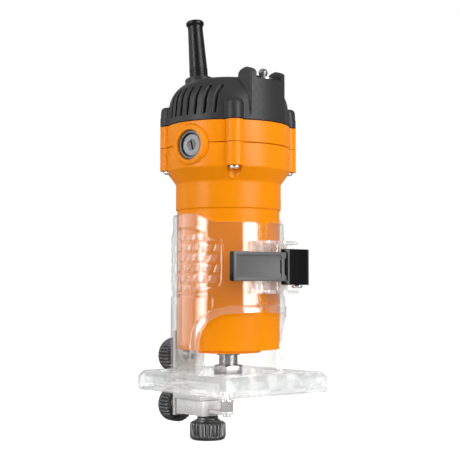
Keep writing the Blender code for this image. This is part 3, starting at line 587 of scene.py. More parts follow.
def sleeve_columns():
    """Angles round the sleeve from one side of the slit to the other, close-set at its corners."""
    slit = math.degrees(math.asin(SLIT_HALF / SLEEVE_RADIUS))
    window = math.degrees(math.acos(-WINDOW_SIDE / SLEEVE_RADIUS))
    front = np.concatenate([np.arange(slit, slit + 6, 0.4), np.arange(slit + 6, window - 4, 0.8),
                            np.arange(window - 4, window - 0.05, 0.25)])
    rear = np.arange(window, 180, 0.8)
    half = np.concatenate([front, rear])
    return np.concatenate([half, [180.0], 360 - half[::-1]]), window


def build_sleeve():
    """The split sleeve as one skin: outer face, bore and the edges between them."""
    columns, window = sleeve_columns()
    signed = np.where(columns > 180, columns - 360, columns)
    slit_arc = SLEEVE_RADIUS * np.radians(np.abs(signed)) - SLIT_HALF
    corner = 3.0
    nibble = corner - np.sqrt(np.maximum(corner ** 2 - np.maximum(corner - slit_arc, 0) ** 2, 0))
    top = sleeve_top(signed) - nibble
    low = window_top(signed) + nibble
    upper_rows = 150
    lower_rows = 36
    skip = 6
    foot = 6.5
    verts, faces, marks = [], [], []
    outer, inner = [], []
    for angle, z_top, z_low in zip(signed, top, low):
        walled = abs(angle) >= window - 0.01
        heights = np.linspace(z_low, z_top, upper_rows + 1)
        if walled:
            heights = np.concatenate([np.linspace(foot, z_low, lower_rows + 1)[:-1], heights])
        radius = sleeve_outside(np.full(heights.shape, angle), heights)
        rounding = 0.35 * smooth_step(0.5, 0.0, z_top - heights)
        if not walled:
            rounding = rounding + 0.35 * smooth_step(0.4, 0.0, heights - z_low)
        radius -= rounding
        start = 0 if walled else lower_rows
        column = {}
        for row, (z, r) in enumerate(zip(heights, radius)):
            column[row + start] = len(verts)
            verts.append(polar(angle, r, z) * MM)
        outer.append(column)
        column = {}
        for row, z in enumerate(heights):
            if (row + start) % skip == 0:
                column[row + start] = len(verts)
                verts.append(polar(angle, SLEEVE_BORE, z) * MM)
        inner.append(column)

    def face(corners, mark):
        faces.append(corners)
        marks.append(mark)

    last = upper_rows + lower_rows
    for i in range(len(columns) - 1):
        here, there = outer[i], outer[i + 1]
        start = max(min(here), min(there))
        middle = (signed[i] + signed[i + 1]) / 2 if abs(signed[i] - signed[i + 1]) < 90 else 180.0
        rows = range(start, last)
        levels = np.array([(verts[here[r]].z + verts[there[r + 1]].z) / 2 / MM for r in rows])
        tiles = grip_fields(np.full(levels.shape, middle), levels)[1]
        depth = np.full(levels.shape, -SLEEVE_RADIUS * math.cos(math.radians(middle)))
        rims = distance_to_path(depth, levels, window_path())
        for r, tile, rim in zip(rows, tiles, rims):
            # Material 3 near the window's rim is the hazy lip finish: a painted highlight for the bright band
            # of the thick edge.
            face((here[r], there[r], there[r + 1], here[r + 1]), 2 if tile < 1 else 3 if rim < 4.4 else 0)
        back, beyond = inner[i], inner[i + 1]
        for r in range(start, last, skip):
            face((beyond[r], back[r], back[r + skip], beyond[r + skip]), 0)
        # Material 1 on the cut faces is the milky edge finish: a painted highlight for light piped along the
        # edges.
        face((here[last], there[last], beyond[last], back[last]), 1)
        face((there[start], here[start], back[start], beyond[start]), 1)

    def wall(column, back, rows, reverse):
        for r in range(rows[0], rows[1], skip):
            strip = [column[k] for k in range(r, r + skip + 1)] + [back[r + skip], back[r]]
            face(tuple(reversed(strip)) if reverse else tuple(strip), 1)

    wall(outer[0], inner[0], (lower_rows, last), True)
    wall(outer[-1], inner[-1], (lower_rows, last), False)
    sides = [i for i, angle in enumerate(signed) if abs(abs(angle) - window) < 0.01]
    wall(outer[sides[0]], inner[sides[0]], (0, lower_rows), True)
    wall(outer[sides[-1]], inner[sides[-1]], (0, lower_rows), False)
    mesh = bpy.data.meshes.new("clear_sleeve")
    mesh.from_pydata(verts, [], faces)
    obj = add_object("clear_sleeve", mesh)
    dress(obj, [CLEAR, CLEAR_EDGE_PAINTED_HIGHLIGHT, CLEAR_TILE, CLEAR_LIP_PAINTED_HIGHLIGHT], "base", "clear_plastic", "base_housing", crease=35)
    mesh.polygons.foreach_set("material_index", marks)
    return obj


def build_lugs():
    """The clamp's two ears: webs between shelves, grown out of the sleeve on both sides of the slit."""
    front = -50
    sides = {"left": (-9.6, -SLIT_HALF - 0.1), "right": (SLIT_HALF + 0.1, 11.4)}
    for side, (x0, x1) in sides.items():
        web = block("lug_" + side, (x0, -44.2, LUG_LOW + 0.5), (x1, -30, LUG_HIGH - 0.5), 0.5)
        start, end = (x0 - 0.4, x1) if side == "left" else (x0, 15.4)
        shelf = rounded_rectangle(start, front, end, -28, 1.8)
        for z in (LUG_LOW, LUG_HIGH - LUG_SHELF):
            join(web, prism("shelf", shelf, "Z", z, z + LUG_SHELF))
        windows = [block("lug_window", (x0 + 1.8, front - 10, low), (x1 - 1.8, -37.5, high))
                   for low, high in ((LUG_LOW + 3.6, CLAMP_Z - 5.0), (CLAMP_Z + 5.0, LUG_HIGH - 3.6))]
        cut(web, block("bolt_slot", (x0 - 8, front - 10, CLAMP_Z - 2.4), (x1 + 8, CAM.y, CLAMP_Z + 2.4)),
            rod("bolt_bore", (x0 - 8, CAM.y, CLAMP_Z), (x1 + 8, CAM.y, CLAMP_Z), 2.4, segments=32), *windows,
            rod("sleeve_room", (0, 0, -20), (0, 0, 130), SLEEVE_RADIUS + 0.05, segments=128))
        soften(web, 0.3)
        # The lugs take the milky edge finish: a painted highlight for light piped through thick clear
        # plastic.
        dress(web, CLEAR_EDGE_PAINTED_HIGHLIGHT, "base", "clear_plastic", crease=40)


def stacked_plate(half, front, back):
    """A plate with cut corners, a wide slope round its top and a small one round its bottom."""
    corner = 4.9
    top_slope = 3.2
    inset_cut = 0.586
    rims = ((1.0, 0.0), (0.0, 1.2), (0.0, PLATE_THICKNESS - top_slope), (top_slope, PLATE_THICKNESS))
    bm = bmesh.new()
    loops = []
    for inset, z in rims:
        cut_off = corner - inset_cut * inset
        x1 = half - inset
        y0 = front + inset
        y1 = back - inset
        corners = [(-x1 + cut_off, y0), (x1 - cut_off, y0), (x1, y0 + cut_off), (x1, y1 - cut_off),
                   (x1 - cut_off, y1), (-x1 + cut_off, y1), (-x1, y1 - cut_off), (-x1, y0 + cut_off)]
        loops.append([bm.verts.new(Vector((x, y, z)) * MM) for x, y in corners])
    stack_loops(bm, loops)
    return object_from(bm, "clear_plate")


def build_plate():
    """The sole plate: rim, ribs and hole bosses round an open floor."""
    half = BASE_HIGH.x
    back = BASE_HIGH.y
    plate = stacked_plate(half, PLATE_FRONT, back)
    pocket = block("pockets", (-half + PLATE_RIM, PLATE_FRONT + PLATE_RIM, PLATE_FLOOR),
                   (half - PLATE_RIM, back - PLATE_RIM, 20))
    ribs = [rod("hub", (0, 0, -5), (0, 0, 30), PLATE_HUB, segments=96)]
    for x, y in PLATE_HOLES:
        ribs.append(rod("hole_boss", (x, y, -5), (x, y, 30), 4.6, segments=40))
        rib = block("corner_rib", (-1.0, 0, -5), (1.0, 26, 30))
        rib.data.transform(shift(x, y, 0) @ Matrix.Rotation(math.atan2(x, -y), 4, "Z"))
        ribs.append(rib)
    for x in RIB_PLACES:
        ribs.append(block("front_rib", (x - 0.9, -60, -5), (x + 0.9, -30, 30)))
        ribs.append(block("back_rib", (x - 0.9, 30, -5), (x + 0.9, 60, 30)))
    cut(pocket, *ribs)
    cut(plate, pocket, rod("floor", (0, 0, 6.0), (0, 0, 40), SLEEVE_BORE, segments=96),
        rod("opening", (0, 0, -5), (0, 0, 20), PLATE_OPENING, segments=96))
    for x, y in PLATE_HOLES:
        cut(plate, rod("plate_hole", (x, y, -5), (x, y, 20), 2.2, segments=32))
    soften(plate, 0.45)
    dress(plate, THICK_CLEAR, "base", "clear_plastic", crease=40)
    boss = block("clear_rear_boss", (-9, 36.0, 12.1), (9, back - 0.2, 29), 1.0)
    cut(boss, rod("knob_bore", (0, 30, CLAMP_KNOB_Z), (0, 60, CLAMP_KNOB_Z), 2.6, segments=32))
    # The rear boss takes the milky edge finish: a painted highlight for light piped through thick clear
    # plastic.
    dress(boss, CLEAR_EDGE_PAINTED_HIGHLIGHT, "base", "clear_plastic", crease=40)


# ---- clamp and lever ----------------------------------------------------------------------
def build_clamp():
    bolt_z = CAM.z
    shank = rod("clamp_bolt_shank", (-15.5, CAM.y, bolt_z), (16.5, CAM.y, bolt_z), 1.9, segments=32, soft=0.3)
    join(shank, rod("bolt_eye", (CAM.x, CAM.y, bolt_z - 2.6), (CAM.x, CAM.y, bolt_z + 2.6), 4.4, soft=0.4))
    cut(shank, rod("eye_hole", (CAM.x, CAM.y, bolt_z - 9), (CAM.x, CAM.y, bolt_z + 9), 1.8, segments=32))
    dress(shank, BRIGHT_STEEL, "base", "steel", "clamp_bolt")
    nut = hexagon("clamp_hex_nut", 3.7, -14.2, -10.3, 2.1)
    nut.data.transform(shift(0, CAM.y, bolt_z) @ rotation(90, "Y"))
    dress(nut, BRIGHT_STEEL, "base", "steel", "clamp_nut")
    face = node_box("clamp_washer")[0].x
    washer = lathe("clamp_flat_washer", [(4.2, 0.9), (4.2, 0.0), (2.3, 0.0), (2.3, 0.9)], 48, ring=True,
                   soft=0.2)
    washer.data.transform(shift(face, CAM.y, bolt_z) @ rotation(90, "Y"))
    dress(washer, BRIGHT_STEEL, "base", "steel", "clamp_washer")
    head, top = (corner.z for corner in node_box("clamp_pin"))
    pin = lathe("clamp_pivot_pin", [(0, top), (1.5, top), (1.5, head + 1.7), (3.5, head + 1.7),
                                    (3.3, head + 0.5), (2.4, head), (0, head)], 48, soft=0.3,
                place=shift(CAM.x, CAM.y, 0))
    dress(pin, BRIGHT_STEEL, "base", "steel", "clamp_pin")


def hexagon(name, radius, low, high, bore):
    """A hexagon nut along Z with turned chamfers and a bore."""
    nut = rod(name, (0, 0, low), (0, 0, high), radius, segments=6)
    flat = radius * math.cos(math.pi / 6)
    drop = (radius - flat) * 0.6
    wide = radius + 0.02
    combine(nut, "INTERSECT", lathe("chamfer", [(0, high), (flat, high), (wide, high - drop),
                                                (wide, low + drop), (flat, low), (0, low)], 64))
    return cut(nut, rod("bore", (0, 0, low - 5), (0, 0, high + 5), bore, segments=40))


def build_lever():
    low = LEVER_LOW.z
    high = LEVER_HIGH.z
    front = PANEL_LOW.y
    back = front + 5.3
    end = PANEL_HIGH.x
    outline = [(end + 0.5, front + 0.1), (CAM.x + 2.5, front), (CAM.x + 7.4, CAM.y - 3),
               (CAM.x + 7.0, CAM.y + 4), (CAM.x + 1, CAM.y + 7.4), (CAM.x - 6.5, CAM.y + 5.0),
               (CAM.x - 7.0, back), (end + 0.5, back)]
    head = prism("lever_head", rounded_path(outline, 3.0, closed=True, steps=8), "Z", low, high)
    arm = block("arm", (LEVER_LOW.x, front + 1.8, PANEL_LOW.z), (CAM.x - 3, back - 0.1, PANEL_HIGH.z), 0.7)
    bottom = CLAMP_Z - 4.2
    top = CLAMP_Z + 4.2
    bulge = rod("bulge", (end - 3.2, front + 2.0, bottom), (end - 3.2, front + 2.0, top), 1.6, soft=0.6)
    join(head, arm, bulge, block("saddle", (end - 3.2, front + 0.5, bottom), (end + 4, back - 1, top), 0.4))
    for z in (low + 1.4, high - 1.4):
        join(head, block("ear", (end - 0.7, front + 0.4, z - 1.4), (end + 2.4, back - 0.4, z + 1.4), 0.6))
    room = 3.0
    cut(head, block("yoke", (5.5, back - 0.4, CLAMP_Z - room), (40, -20, CLAMP_Z + room)),
        rod("fork", (CAM.x, CAM.y, CLAMP_Z - room), (CAM.x, CAM.y, CLAMP_Z + room), 4.8),
        rod("pin_hole", (CAM.x, CAM.y, low - 9), (CAM.x, CAM.y, high - 0.7), 1.8, segments=32),
        block("nut_room", (-17.5, -46.6, CLAMP_Z - 4.4), (-9.0, -35, CLAMP_Z + 4.4)),
        block("washer_room", (9.4, -47.1, CLAMP_Z - 4.6), (13.0, -30, CLAMP_Z + 4.6)))
    soften(head, 0.35)
    dress(head, BLACK, "lever", "black_plastic", "clamp_lever", crease=35)


def build_lever_panel():
    """The lever's face plate, with a shallow blank field and a notch for the cam's head."""
    front = PANEL_LOW.y
    start = PANEL_LOW.x
    end = PANEL_HIGH.x
    z0 = PANEL_LOW.z
    z1 = PANEL_HIGH.z
    panel = block("lever_face_plate", (start, front, z0), (end, PANEL_HIGH.y, z1), 0.55)
    rim = 2.1
    field = rounded_rectangle(start + rim, z0 + rim, end - rim - 1.6, z1 - rim, 0.8)
    notch = rounded_path([(end - 1.6, CLAMP_Z - 5.0), (end + 4, CLAMP_Z - 6.4), (end + 4, CLAMP_Z + 6.4),
                          (end - 1.6, CLAMP_Z + 5.0)], 1.2, closed=True)
    cut(panel, prism("recess", field, "Y", front - 3, front + RECESS_DEPTH),
        prism("notch", notch, "Y", front - 3, front + 4))
    soften(panel, 0.18)
    dress(panel, [LEVER_GREY, LEVER_PANEL], "lever", "lever_grey", "lever_cover", crease=35)
    floor = (front + RECESS_DEPTH) * MM
    for polygon in panel.data.polygons:
        if abs(polygon.center.y - floor) < 0.00002 and abs(polygon.normal.y) > 0.9:
            polygon.material_index = 1


# ---- motor --------------------------------------------------------------------------------
def brush_rod(name, angle, start, end, radius, **options):
    """A rod along a brush's axis."""
    return rod(name, polar(angle, start, BRUSH_HEIGHT), polar(angle, end, BRUSH_HEIGHT), radius, **options)


def boss_rod(name, angle, low, high, radius=BOSS_RADIUS, **options):
    """An upright rod at one of the four screw bosses."""
    return rod(name, polar(angle, BOSS_CIRCLE, low), polar(angle, BOSS_CIRCLE, high), radius, **options)


def build_motor_housing():
    top = RING_LOW.z - 0.3
    nose_top = 25.8
    profile = [(0, top), (HEAD_RADIUS, top), (HEAD_RADIUS, CONE_TOP), (FLANGE_RADIUS, FLANGE_TOP),
               (FLANGE_RADIUS, FLANGE_BOTTOM), (MOTOR_RADIUS, FLANGE_BOTTOM - 0.5), (MOTOR_RADIUS, nose_top),
               (NOSE_RADIUS, nose_top), (NOSE_RADIUS, NOSE_FOOT), (0, NOSE_FOOT)]
    shell = lathe("orange_motor_shell", rounded_path(profile, 0.8, steps=3), 160)
    bosses = [boss_rod("boss", angle, BOSS_BOTTOM, top - 0.01) for angle in BOSS_ANGLES]
    for angle in BRUSH_ANGLES.values():
        bosses.append(brush_rod("brush_boss", angle, 30, BRUSH_BOSS_FACE, BRUSH_BOSS_RADIUS, segments=80,
                                soft=1.1))
    join(shell, *bosses)
    head = HEAD_RADIUS - HEAD_WALL
    inner = MOTOR_RADIUS - HEAD_WALL
    hollow = lathe("motor_hollow", [
        (0, 170), (head, 170), (head, CONE_TOP + 4.4), (inner, FLANGE_TOP + 5.4), (inner, 30), (14.5, 30),
        (14.5, 38), (11.3, 38), (11.3, 29), (0, 29)], 64)
    cut(shell, hollow, rod("spindle_hole", (0, 0, 10), (0, 0, 40), 8.0))
    for angle in BRUSH_ANGLES.values():
        cut(shell, brush_rod("brush_hole", angle, 30, 60, 9.3, segments=64))
    for angle in BOSS_ANGLES:
        cut(shell, boss_rod("boss_hole", angle, BOSS_BOTTOM - 5, BOSS_BOTTOM + 9, 2.0, segments=24),
            rod("driver_groove", polar(angle, BOSS_CIRCLE + 0.8, FLANGE_TOP - 4),
                polar(angle, BOSS_CIRCLE + 0.4, BOSS_BOTTOM), 4.4, segments=40))
    dress(shell, ORANGE, "motor", "orange_housing", "motor_housing")


def build_brush_housing():
    low = RING_LOW.z
    high = RING_HIGH.z
    inner = HEAD_RADIUS - HEAD_WALL
    ring = lathe("orange_brush_ring", [(HEAD_RADIUS, high), (HEAD_RADIUS, low), (inner, low), (inner, high)],
                 160, ring=True, soft=0.35)
    bosses = [boss_rod("boss", angle, low + 0.01, high - 0.01) for angle in BOSS_ANGLES]
    for k in range(2):
        spoke = block("spoke", (-HEAD_RADIUS + 1, -5, 160.5), (HEAD_RADIUS - 1, 5, high - 0.4))
        turn_about_axis(BRUSH_ANGLES["left"] + 45 + 90 * k, spoke)
        bosses.append(spoke)
    join(ring, *bosses, rod("bearing_seat", (0, 0, 157.5), (0, 0, high - 0.2), 13.0))
    cut(ring, rod("seat_bore", (0, 0, 150), (0, 0, high - 1.5), 9.9),
        rod("seat_through", (0, 0, 150), (0, 0, 180), 6.0))
    for angle in BRUSH_ANGLES.values():
        cut(ring, brush_rod("brush_room", angle, 28, 60, BRUSH_BOSS_RADIUS + 0.3, segments=80))
    dress(ring, ORANGE, "motor", "orange_housing", "brush_housing")


def dome_profile(radius, top, rounding, bottom, foot_radius):
    steps = 24
    points = [(0, top)]
    for i in range(steps + 1):
        turn = math.pi / 2 * i / steps
        points.append((radius - rounding * (1 - math.sin(turn)), top - rounding * (1 - math.cos(turn))))
    return points + [(foot_radius, bottom), (0, bottom)]


def boot_axis(distance):
    lean = math.radians(BOOT_TILT)
    return Vector((0, BOOT_Y + distance * math.sin(lean), COLLAR_TOP + distance * math.cos(lean)))


def switch_tower(low):
    """The raised box round the switch, with a finger guard on each side and a wall behind."""
    front = -50
    foot = TOWER_TOP - 4
    tower = block("tower", (-TOWER_HALF, front, low + 1.0), (TOWER_HALF, TOWER_BACK, TOWER_TOP))
    outline = [(front, foot), (front, GUARD_TOP - 14), (-39.2, GUARD_TOP - 8.0), (-37.2, GUARD_TOP - 2.6),
               (-31.5, GUARD_TOP), (GUARD_BACK - 0.8, GUARD_TOP - 2.2), (GUARD_BACK, foot)]
    outline = rounded_path(outline, 3.2, closed=True, steps=6)
    guards = []
    for side in (-1, 1):
        start, end = sorted((side * TOWER_HALF, side * (TOWER_HALF - GUARD_THICKNESS)))
        guards.append(prism("guard", outline, "X", start + 0.15, end - 0.15))
    guards.append(block("bay_wall", (-TOWER_HALF + 1, BAY_BACK, foot),
                        (TOWER_HALF - 1, GUARD_BACK, GUARD_TOP - 2.8), 0.5))
    turn_about_axis(TOWER_TURN, tower, *guards)
    join(tower, *guards)
    return combine(tower, "INTERSECT",
                   rod("tower_trim", (0, 0, 150), (0, 0, 230), HEAD_RADIUS - 0.15, segments=128))


def build_top_cover():
    low = COVER_LOW.z
    cover = lathe("charcoal_cover", dome_profile(DOME_RADIUS, DOME_TOP, DOME_ROUND, low, HEAD_RADIUS), 160)
    lumps = [switch_tower(low)]
    for angle in BOSS_ANGLES:
        lumps.append(rod("cover_boss", polar(angle, BOSS_CIRCLE, low + 0.3),
                         polar(angle, BOSS_CIRCLE - 0.6, BOSS_TOP), BOSS_RADIUS, soft=2.6))
        lumps.append(boss_rod("boss_foot", angle, low, low + 5))
    lumps.append(rod("cord_collar", (0, 28.0, 171), boot_axis(0), 9.4, segments=64, soft=0.8))
    join(cover, *lumps)
    wall = 2.6
    inner = dome_profile(DOME_RADIUS - wall, DOME_TOP - wall, DOME_ROUND - wall, low - 8,
                         HEAD_RADIUS - HEAD_WALL)
    hollow = block("tower_hollow", (-TOWER_HALF + wall, -36.0, low - 8),
                   (TOWER_HALF - wall, TOWER_BACK - 3, TOWER_TOP - wall))
    hole = rod("switch_hole", (0, SWITCH_Y, 180), (0, SWITCH_Y, 215), 3.9)
    bay_half = TOWER_HALF - GUARD_THICKNESS + 0.1
    bay = block("switch_bay", (-bay_half, -60, TOWER_TOP - 0.02), (bay_half, BAY_BACK, 215))
    turn_about_axis(TOWER_TURN, hollow, hole, bay)
    cut(cover, lathe("cover_hollow", inner, 96), bay, hollow, hole,
        rod("cord_hole", (0, 29.5, 174.6), boot_axis(12), 4.6),
        rod("boot_seat", boot_axis(-8), boot_axis(12), 6.5, segments=64))
    count = 7
    pitch = 5.7
    for side in (-1, 1):
        vents = []
        for k in range(count):
            y = side * (7.0 + (k - (count - 1) / 2) * pitch)
            ends = sorted((side * math.sqrt(31.0 ** 2 - y * y), side * 50))
            vents.append(block("vent", (ends[0], y - 0.95, 170.2), (ends[1], y + 0.95, 188.0)))
        cut(cover, *vents)
    moulded(cover, 0.42, 3)
    dress(cover, CHARCOAL, "motor", "charcoal_plastic", "top_cover", crease=60)


def build_strain_relief():
    rings = []
    for k in range(5):
        z = 0.8 + 1.3 * k
        rings += [(6.1, z), (6.1, z + 0.8), (5.98, z + 1.0), (5.98, z + 1.1)]
    head = [(4.2, 0.0), (5.4, 0.1), (6.0, 0.9), (6.0, 2.2), (5.1, 3.8), (5.0, 6.0)]
    outer = [(radius, BOOT_LENGTH - drop) for radius, drop in head] + rings[::-1]
    outer += [(6.12, 0), (6.1, -7.5), (3.4, -7.5), (3.4, BOOT_LENGTH - 0.8)]
    place = Matrix.Translation(boot_axis(0) * MM) @ rotation(-BOOT_TILT, "X")
    boot = lathe("cord_boot", outer, 64, ring=True, place=place, soft=0.35)
    dress(boot, RUBBER, "motor", "rubber", "strain_relief", crease=50)


def build_screws():
    top = BOSS_BOTTOM - 0.3
    end = BOSS_BOTTOM + 8
    profile = [(0, end), (1.7, end), (1.7, top), (3.4, top), (3.4, top - 0.9), (2.7, top - 1.75),
               (0, top - 1.9)]
    for k, angle in enumerate(BOSS_ANGLES, 1):
        head = lathe("pan_screw_%d" % k, profile, 48, soft=0.5)
        for turn in (20, 110):
            slot = block("slot", (-1.9, -0.4, top - 3), (1.9, 0.4, top - 1.1))
            turn_about_axis(turn, slot)
            cut(head, slot)
        head.data.transform(Matrix.Translation(polar(angle, BOSS_CIRCLE) * MM))
        dress(head, BRIGHT_STEEL, "motor", "steel", "housing_screw_%d" % k)


def build_brushes():
    mouth = 38.9
    face = 37.6
    well = 3.3
    for side, angle in BRUSH_ANGLES.items():
        place = rotation(angle) @ shift(0, 0, BRUSH_HEIGHT) @ rotation(90, "X")
        holder = lathe("black_brush_holder_" + side, [
            (9.0, mouth), (9.0, 20), (4.6, 20), (4.6, 33.1), (7.1, 33.1), (7.1, mouth)], 80, ring=True,
                       place=place, soft=0.45)
        dress(holder, HOLDER_BLACK, "motor", "black_plastic", "brush_holder_" + side)
        cap = lathe("round_brush_cap_" + side, [(0, face - 0.5), (well, face - 0.5), (3.5, face), (6.4, face),
                                                (6.8, 37.2), (6.8, 33.5), (0, 33.5)], 80, soft=0.2)
        slot = block("slot", (-0.65, -3.0, 35.6), (0.65, 3.0, 45))
        turn_about_axis(16, slot)
        cut(cap, slot)
        cap.data.transform(place)
        dress(cap, [CAP_GREY, CAP_DARK], "motor", "grey_plastic", "brush_cap_" + side)
        axis = polar(angle, 1.0)
        for polygon in cap.data.polygons:
            centre = polygon.center / MM
            off_axis = (centre - Vector((0, 0, BRUSH_HEIGHT)) - axis * centre.dot(axis)).length
            if off_axis < well - 0.05:
                polygon.material_index = 1


def build_switch():
    place = rotation(TOWER_TURN) @ shift(0, SWITCH_Y, 0)
    ball = lathe("switch_lever", [
        (0, 199.8), (1.4, 199.6), (2.4, 198.8), (2.9, 197.6), (2.7, 196.2), (2.2, 194.6), (1.9, 192),
        (1.9, 190), (2.4, 188.6), (2.4, 186.6), (0, 185.4)], 48, place=place)
    dress(ball, TOGGLE_GREY, "switch", "grey_plastic", "switch_toggle", crease=60)
    ring = lathe("switch_ring_nut", [(6.2, 193.5), (6.2, 192.8), (3.9, 192.8), (3.9, 193.6), (5.6, 193.6)],
                 48, ring=True, place=place)
    dress(ring, STEEL, "motor", "steel", "switch_bezel")


def build_spindle():
    foot = 12.0
    shaft = lathe("turned_spindle", [(0, 171), (3.9, 171), (3.9, 142), (4.9, 142), (4.9, 42), (5.8, 41),
                                     (5.8, foot), (3.5, foot), (3.5, 20), (0, 20)], 64, soft=0.15)
    dress(shaft, STEEL, "spindle", "steel", "spindle_shaft")
    nut = hexagon("hex_collet_nut", 9.8, 8.6, 15.6, 3.4)
    cut(nut, rod("nut_thread", (0, 0, 11.7), (0, 0, 30), 6.1))
    turn_about_axis(16.1, nut)
    soften(nut, 0.15)
    dress(nut, NUT_STEEL, "spindle", "steel", "collet_nut")
    seal = lathe("spindle_nose_cap", [(7.6, 28.6), (7.6, 22.9), (7.0, 21.8), (6.1, 21.8), (6.1, 28.6)], 64,
                 ring=True, soft=0.25)
    dress(seal, STEEL, "motor", "steel", "spindle_seal")


# ---- guide --------------------------------------------------------------------------------
def knob(name, place, body, node, screw_radius, screw_length):
    """A fluted knob along +Z from its free end, with a stepped collar and a screw."""
    ribs = 28
    around = ribs * 8
    neck = KNOB_COLLAR + KNOB_LENGTH
    tip = neck + screw_length
    flute = 1.0
    rows = [(7.0, 0.0, 0), (KNOB_RADIUS - 1.6, 0.15, 0), (KNOB_RADIUS - 0.5, 0.9, 0),
            (KNOB_RADIUS - 0.1, 1.9, 0), (KNOB_RADIUS - 0.1, 2.5, 0), (KNOB_RADIUS, 3.2, 1),
            (KNOB_RADIUS, KNOB_LENGTH - 1.2, 1), (KNOB_RADIUS - 0.5, KNOB_LENGTH - 0.2, 0.8),
            (KNOB_RADIUS - 1.7, KNOB_LENGTH + 0.6, 0.3), (8.4, KNOB_LENGTH + 0.9, 0),
            (8.2, KNOB_LENGTH + 1.5, 0), (7.0, KNOB_LENGTH + 1.9, 0), (6.7, neck - 0.5, 0), (6.2, neck, 0),
            (screw_radius, neck, 0), (screw_radius, tip - 0.5, 0), (screw_radius - 0.5, tip, 0)]
    bm = bmesh.new()
    loops = []
    for radius, z, depth in rows:
        loop = []
        for k in range(around):
            turn = 2 * math.pi * k / around
            reach = radius - flute * depth * (0.5 - 0.5 * math.cos(ribs * turn)) ** 2
            loop.append(bm.verts.new(Vector((math.cos(turn) * reach, math.sin(turn) * reach, z)) * MM))
        loops.append(loop)
    stack_loops(bm, loops)
    bm.transform(place)
    piece = object_from(bm, name)
    return dress(piece, KNOB_BLACK, body, "black_plastic", node, crease=45)


def build_holder():
    half = HOLDER_HIGH.x
    outline = rounded_rectangle(-half, HOLDER_LOW.y, half, HOLDER_HIGH.y, 1.6)
    holder = prism("cast_guide_holder", outline, "Z", -7.8, -0.4)
    join(holder, block("leg", (-half + 0.5, HOLDER_HIGH.y - 2.4, HOLDER_LOW.z),
                       (half - 0.5, HOLDER_HIGH.y - 0.05, HOLDER_HIGH.z)))
    cut(holder, block("slot", (-2.6, 40, CLAMP_KNOB_Z - 0.3), (2.6, 50, HOLDER_HIGH.z - 4)),
        rod("slot_end", (0, 40, CLAMP_KNOB_Z), (0, 50, CLAMP_KNOB_Z), 2.6),
        rod("reach_bore", (0, 40, REACH_Z), (0, 50, REACH_Z), 2.4),
        rod("lock_bore", (0, LOCK_Y, -20), (0, LOCK_Y, -2.4), 2.4))
    soften(holder, 0.4)
    dress(holder, CAST, "guide", "cast_metal", "guide_holder", crease=40)


def build_arm():
    half = ARM_HIGH.x
    front = 15.2
    outline = rounded_rectangle(-half, front, half, ARM_HIGH.y, 1.0)
    arm = prism("cast_guide_arm", outline, "Z", ARM_LOW.z, ARM_HIGH.z)
    join(arm, block("strap", (-4.1, ROLLER_Y, -15.6), (4.1, front + 1.2, -13.6)),
         rod("strap_tip", (0, ROLLER_Y, -15.58), (0, ROLLER_Y, -13.62), 4.4, segments=64))
    cut(arm, block("lock_slot", (-2.5, LOCK_Y - 2.6, -30), (2.5, LOCK_Y + 10.7, 0)),
        rod("reach_thread", (0, 31.2, REACH_Z), (0, 60, REACH_Z), 2.3),
        rod("roller_bore", (0, ROLLER_Y, -20), (0, ROLLER_Y, -10), 1.4))
    soften(arm, 0.4)
    dress(arm, CAST, "guide_slide", "cast_metal", "guide_arm", crease=40)


def build_roller():
    place = shift(0, ROLLER_Y, 0)
    roller = lathe("ball_guide_roller", [(4.85, -6.6), (4.85, -7.5), (4.1, -7.7), (4.1, -13.3), (1.5, -13.3),
                                         (1.5, -6.6)], 64, ring=True, place=place, soft=0.25)
    dress(roller, BRIGHT_STEEL, "roller", "steel", "guide_roller")
    pin = lathe("riveted_roller_pin", [(0, -5.2), (2.2, -5.4), (2.2, -6.3), (1.2, -6.3), (1.2, -15.9),
                                       (2.5, -15.9), (2.5, -17.1), (0, -17.1)], 48, place=place, soft=0.2)
    dress(pin, BRIGHT_STEEL, "guide_slide", "steel", "roller_pin")


def build_knobs():
    end = HOLDER_HIGH.y + 0.3 + KNOB_COLLAR + KNOB_LENGTH
    forward = rotation(90, "X")
    knob("fluted_clamp_knob", shift(0, end, CLAMP_KNOB_Z) @ forward, "clamp_knob", "guide_clamp_knob", 2.2,
         8.3)
    knob("fluted_reach_knob", shift(0, end, REACH_Z) @ forward, "reach_knob", "reach_knob", 2.0, 13.4)
    foot = node_box("lock_knob")[0].z
    knob("fluted_lock_knob", shift(0, LOCK_Y, foot), "lock_knob", "lock_knob", 2.1, 13.6)


def finish_inner_nodes():
    """Better materials for the inner pieces that keep their CAD meshes."""
    finishes = (
        (STACK, "stator_core", "armature_core"), (STEEL, "collet"), (BRASS, "commutator"),
        (COPPER, "stator_winding_lower", "stator_winding_upper", "armature_winding"),
        (HOLDER_BLACK, "cooling_fan", "switch_body"), (BEARING_STEEL, "lower_bearing", "upper_bearing"),
        (CARBON, "carbon_brush_left", "carbon_brush_right"))
    for finish, *nodes in finishes:
        for node in nodes:
            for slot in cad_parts[node].material_slots:
                slot.material = finish


# ---- stage --------------------------------------------------------------------------------
CAMERA_ANGLE = -38.5
CAMERA_DISTANCE = 0.7
CAMERA_HEIGHT = 0.0627
CAMERA_TILT = 3.13
LENS = 86.2
FLOOR_GAP = 0.0003
FLOOR_SIZE = 6.0


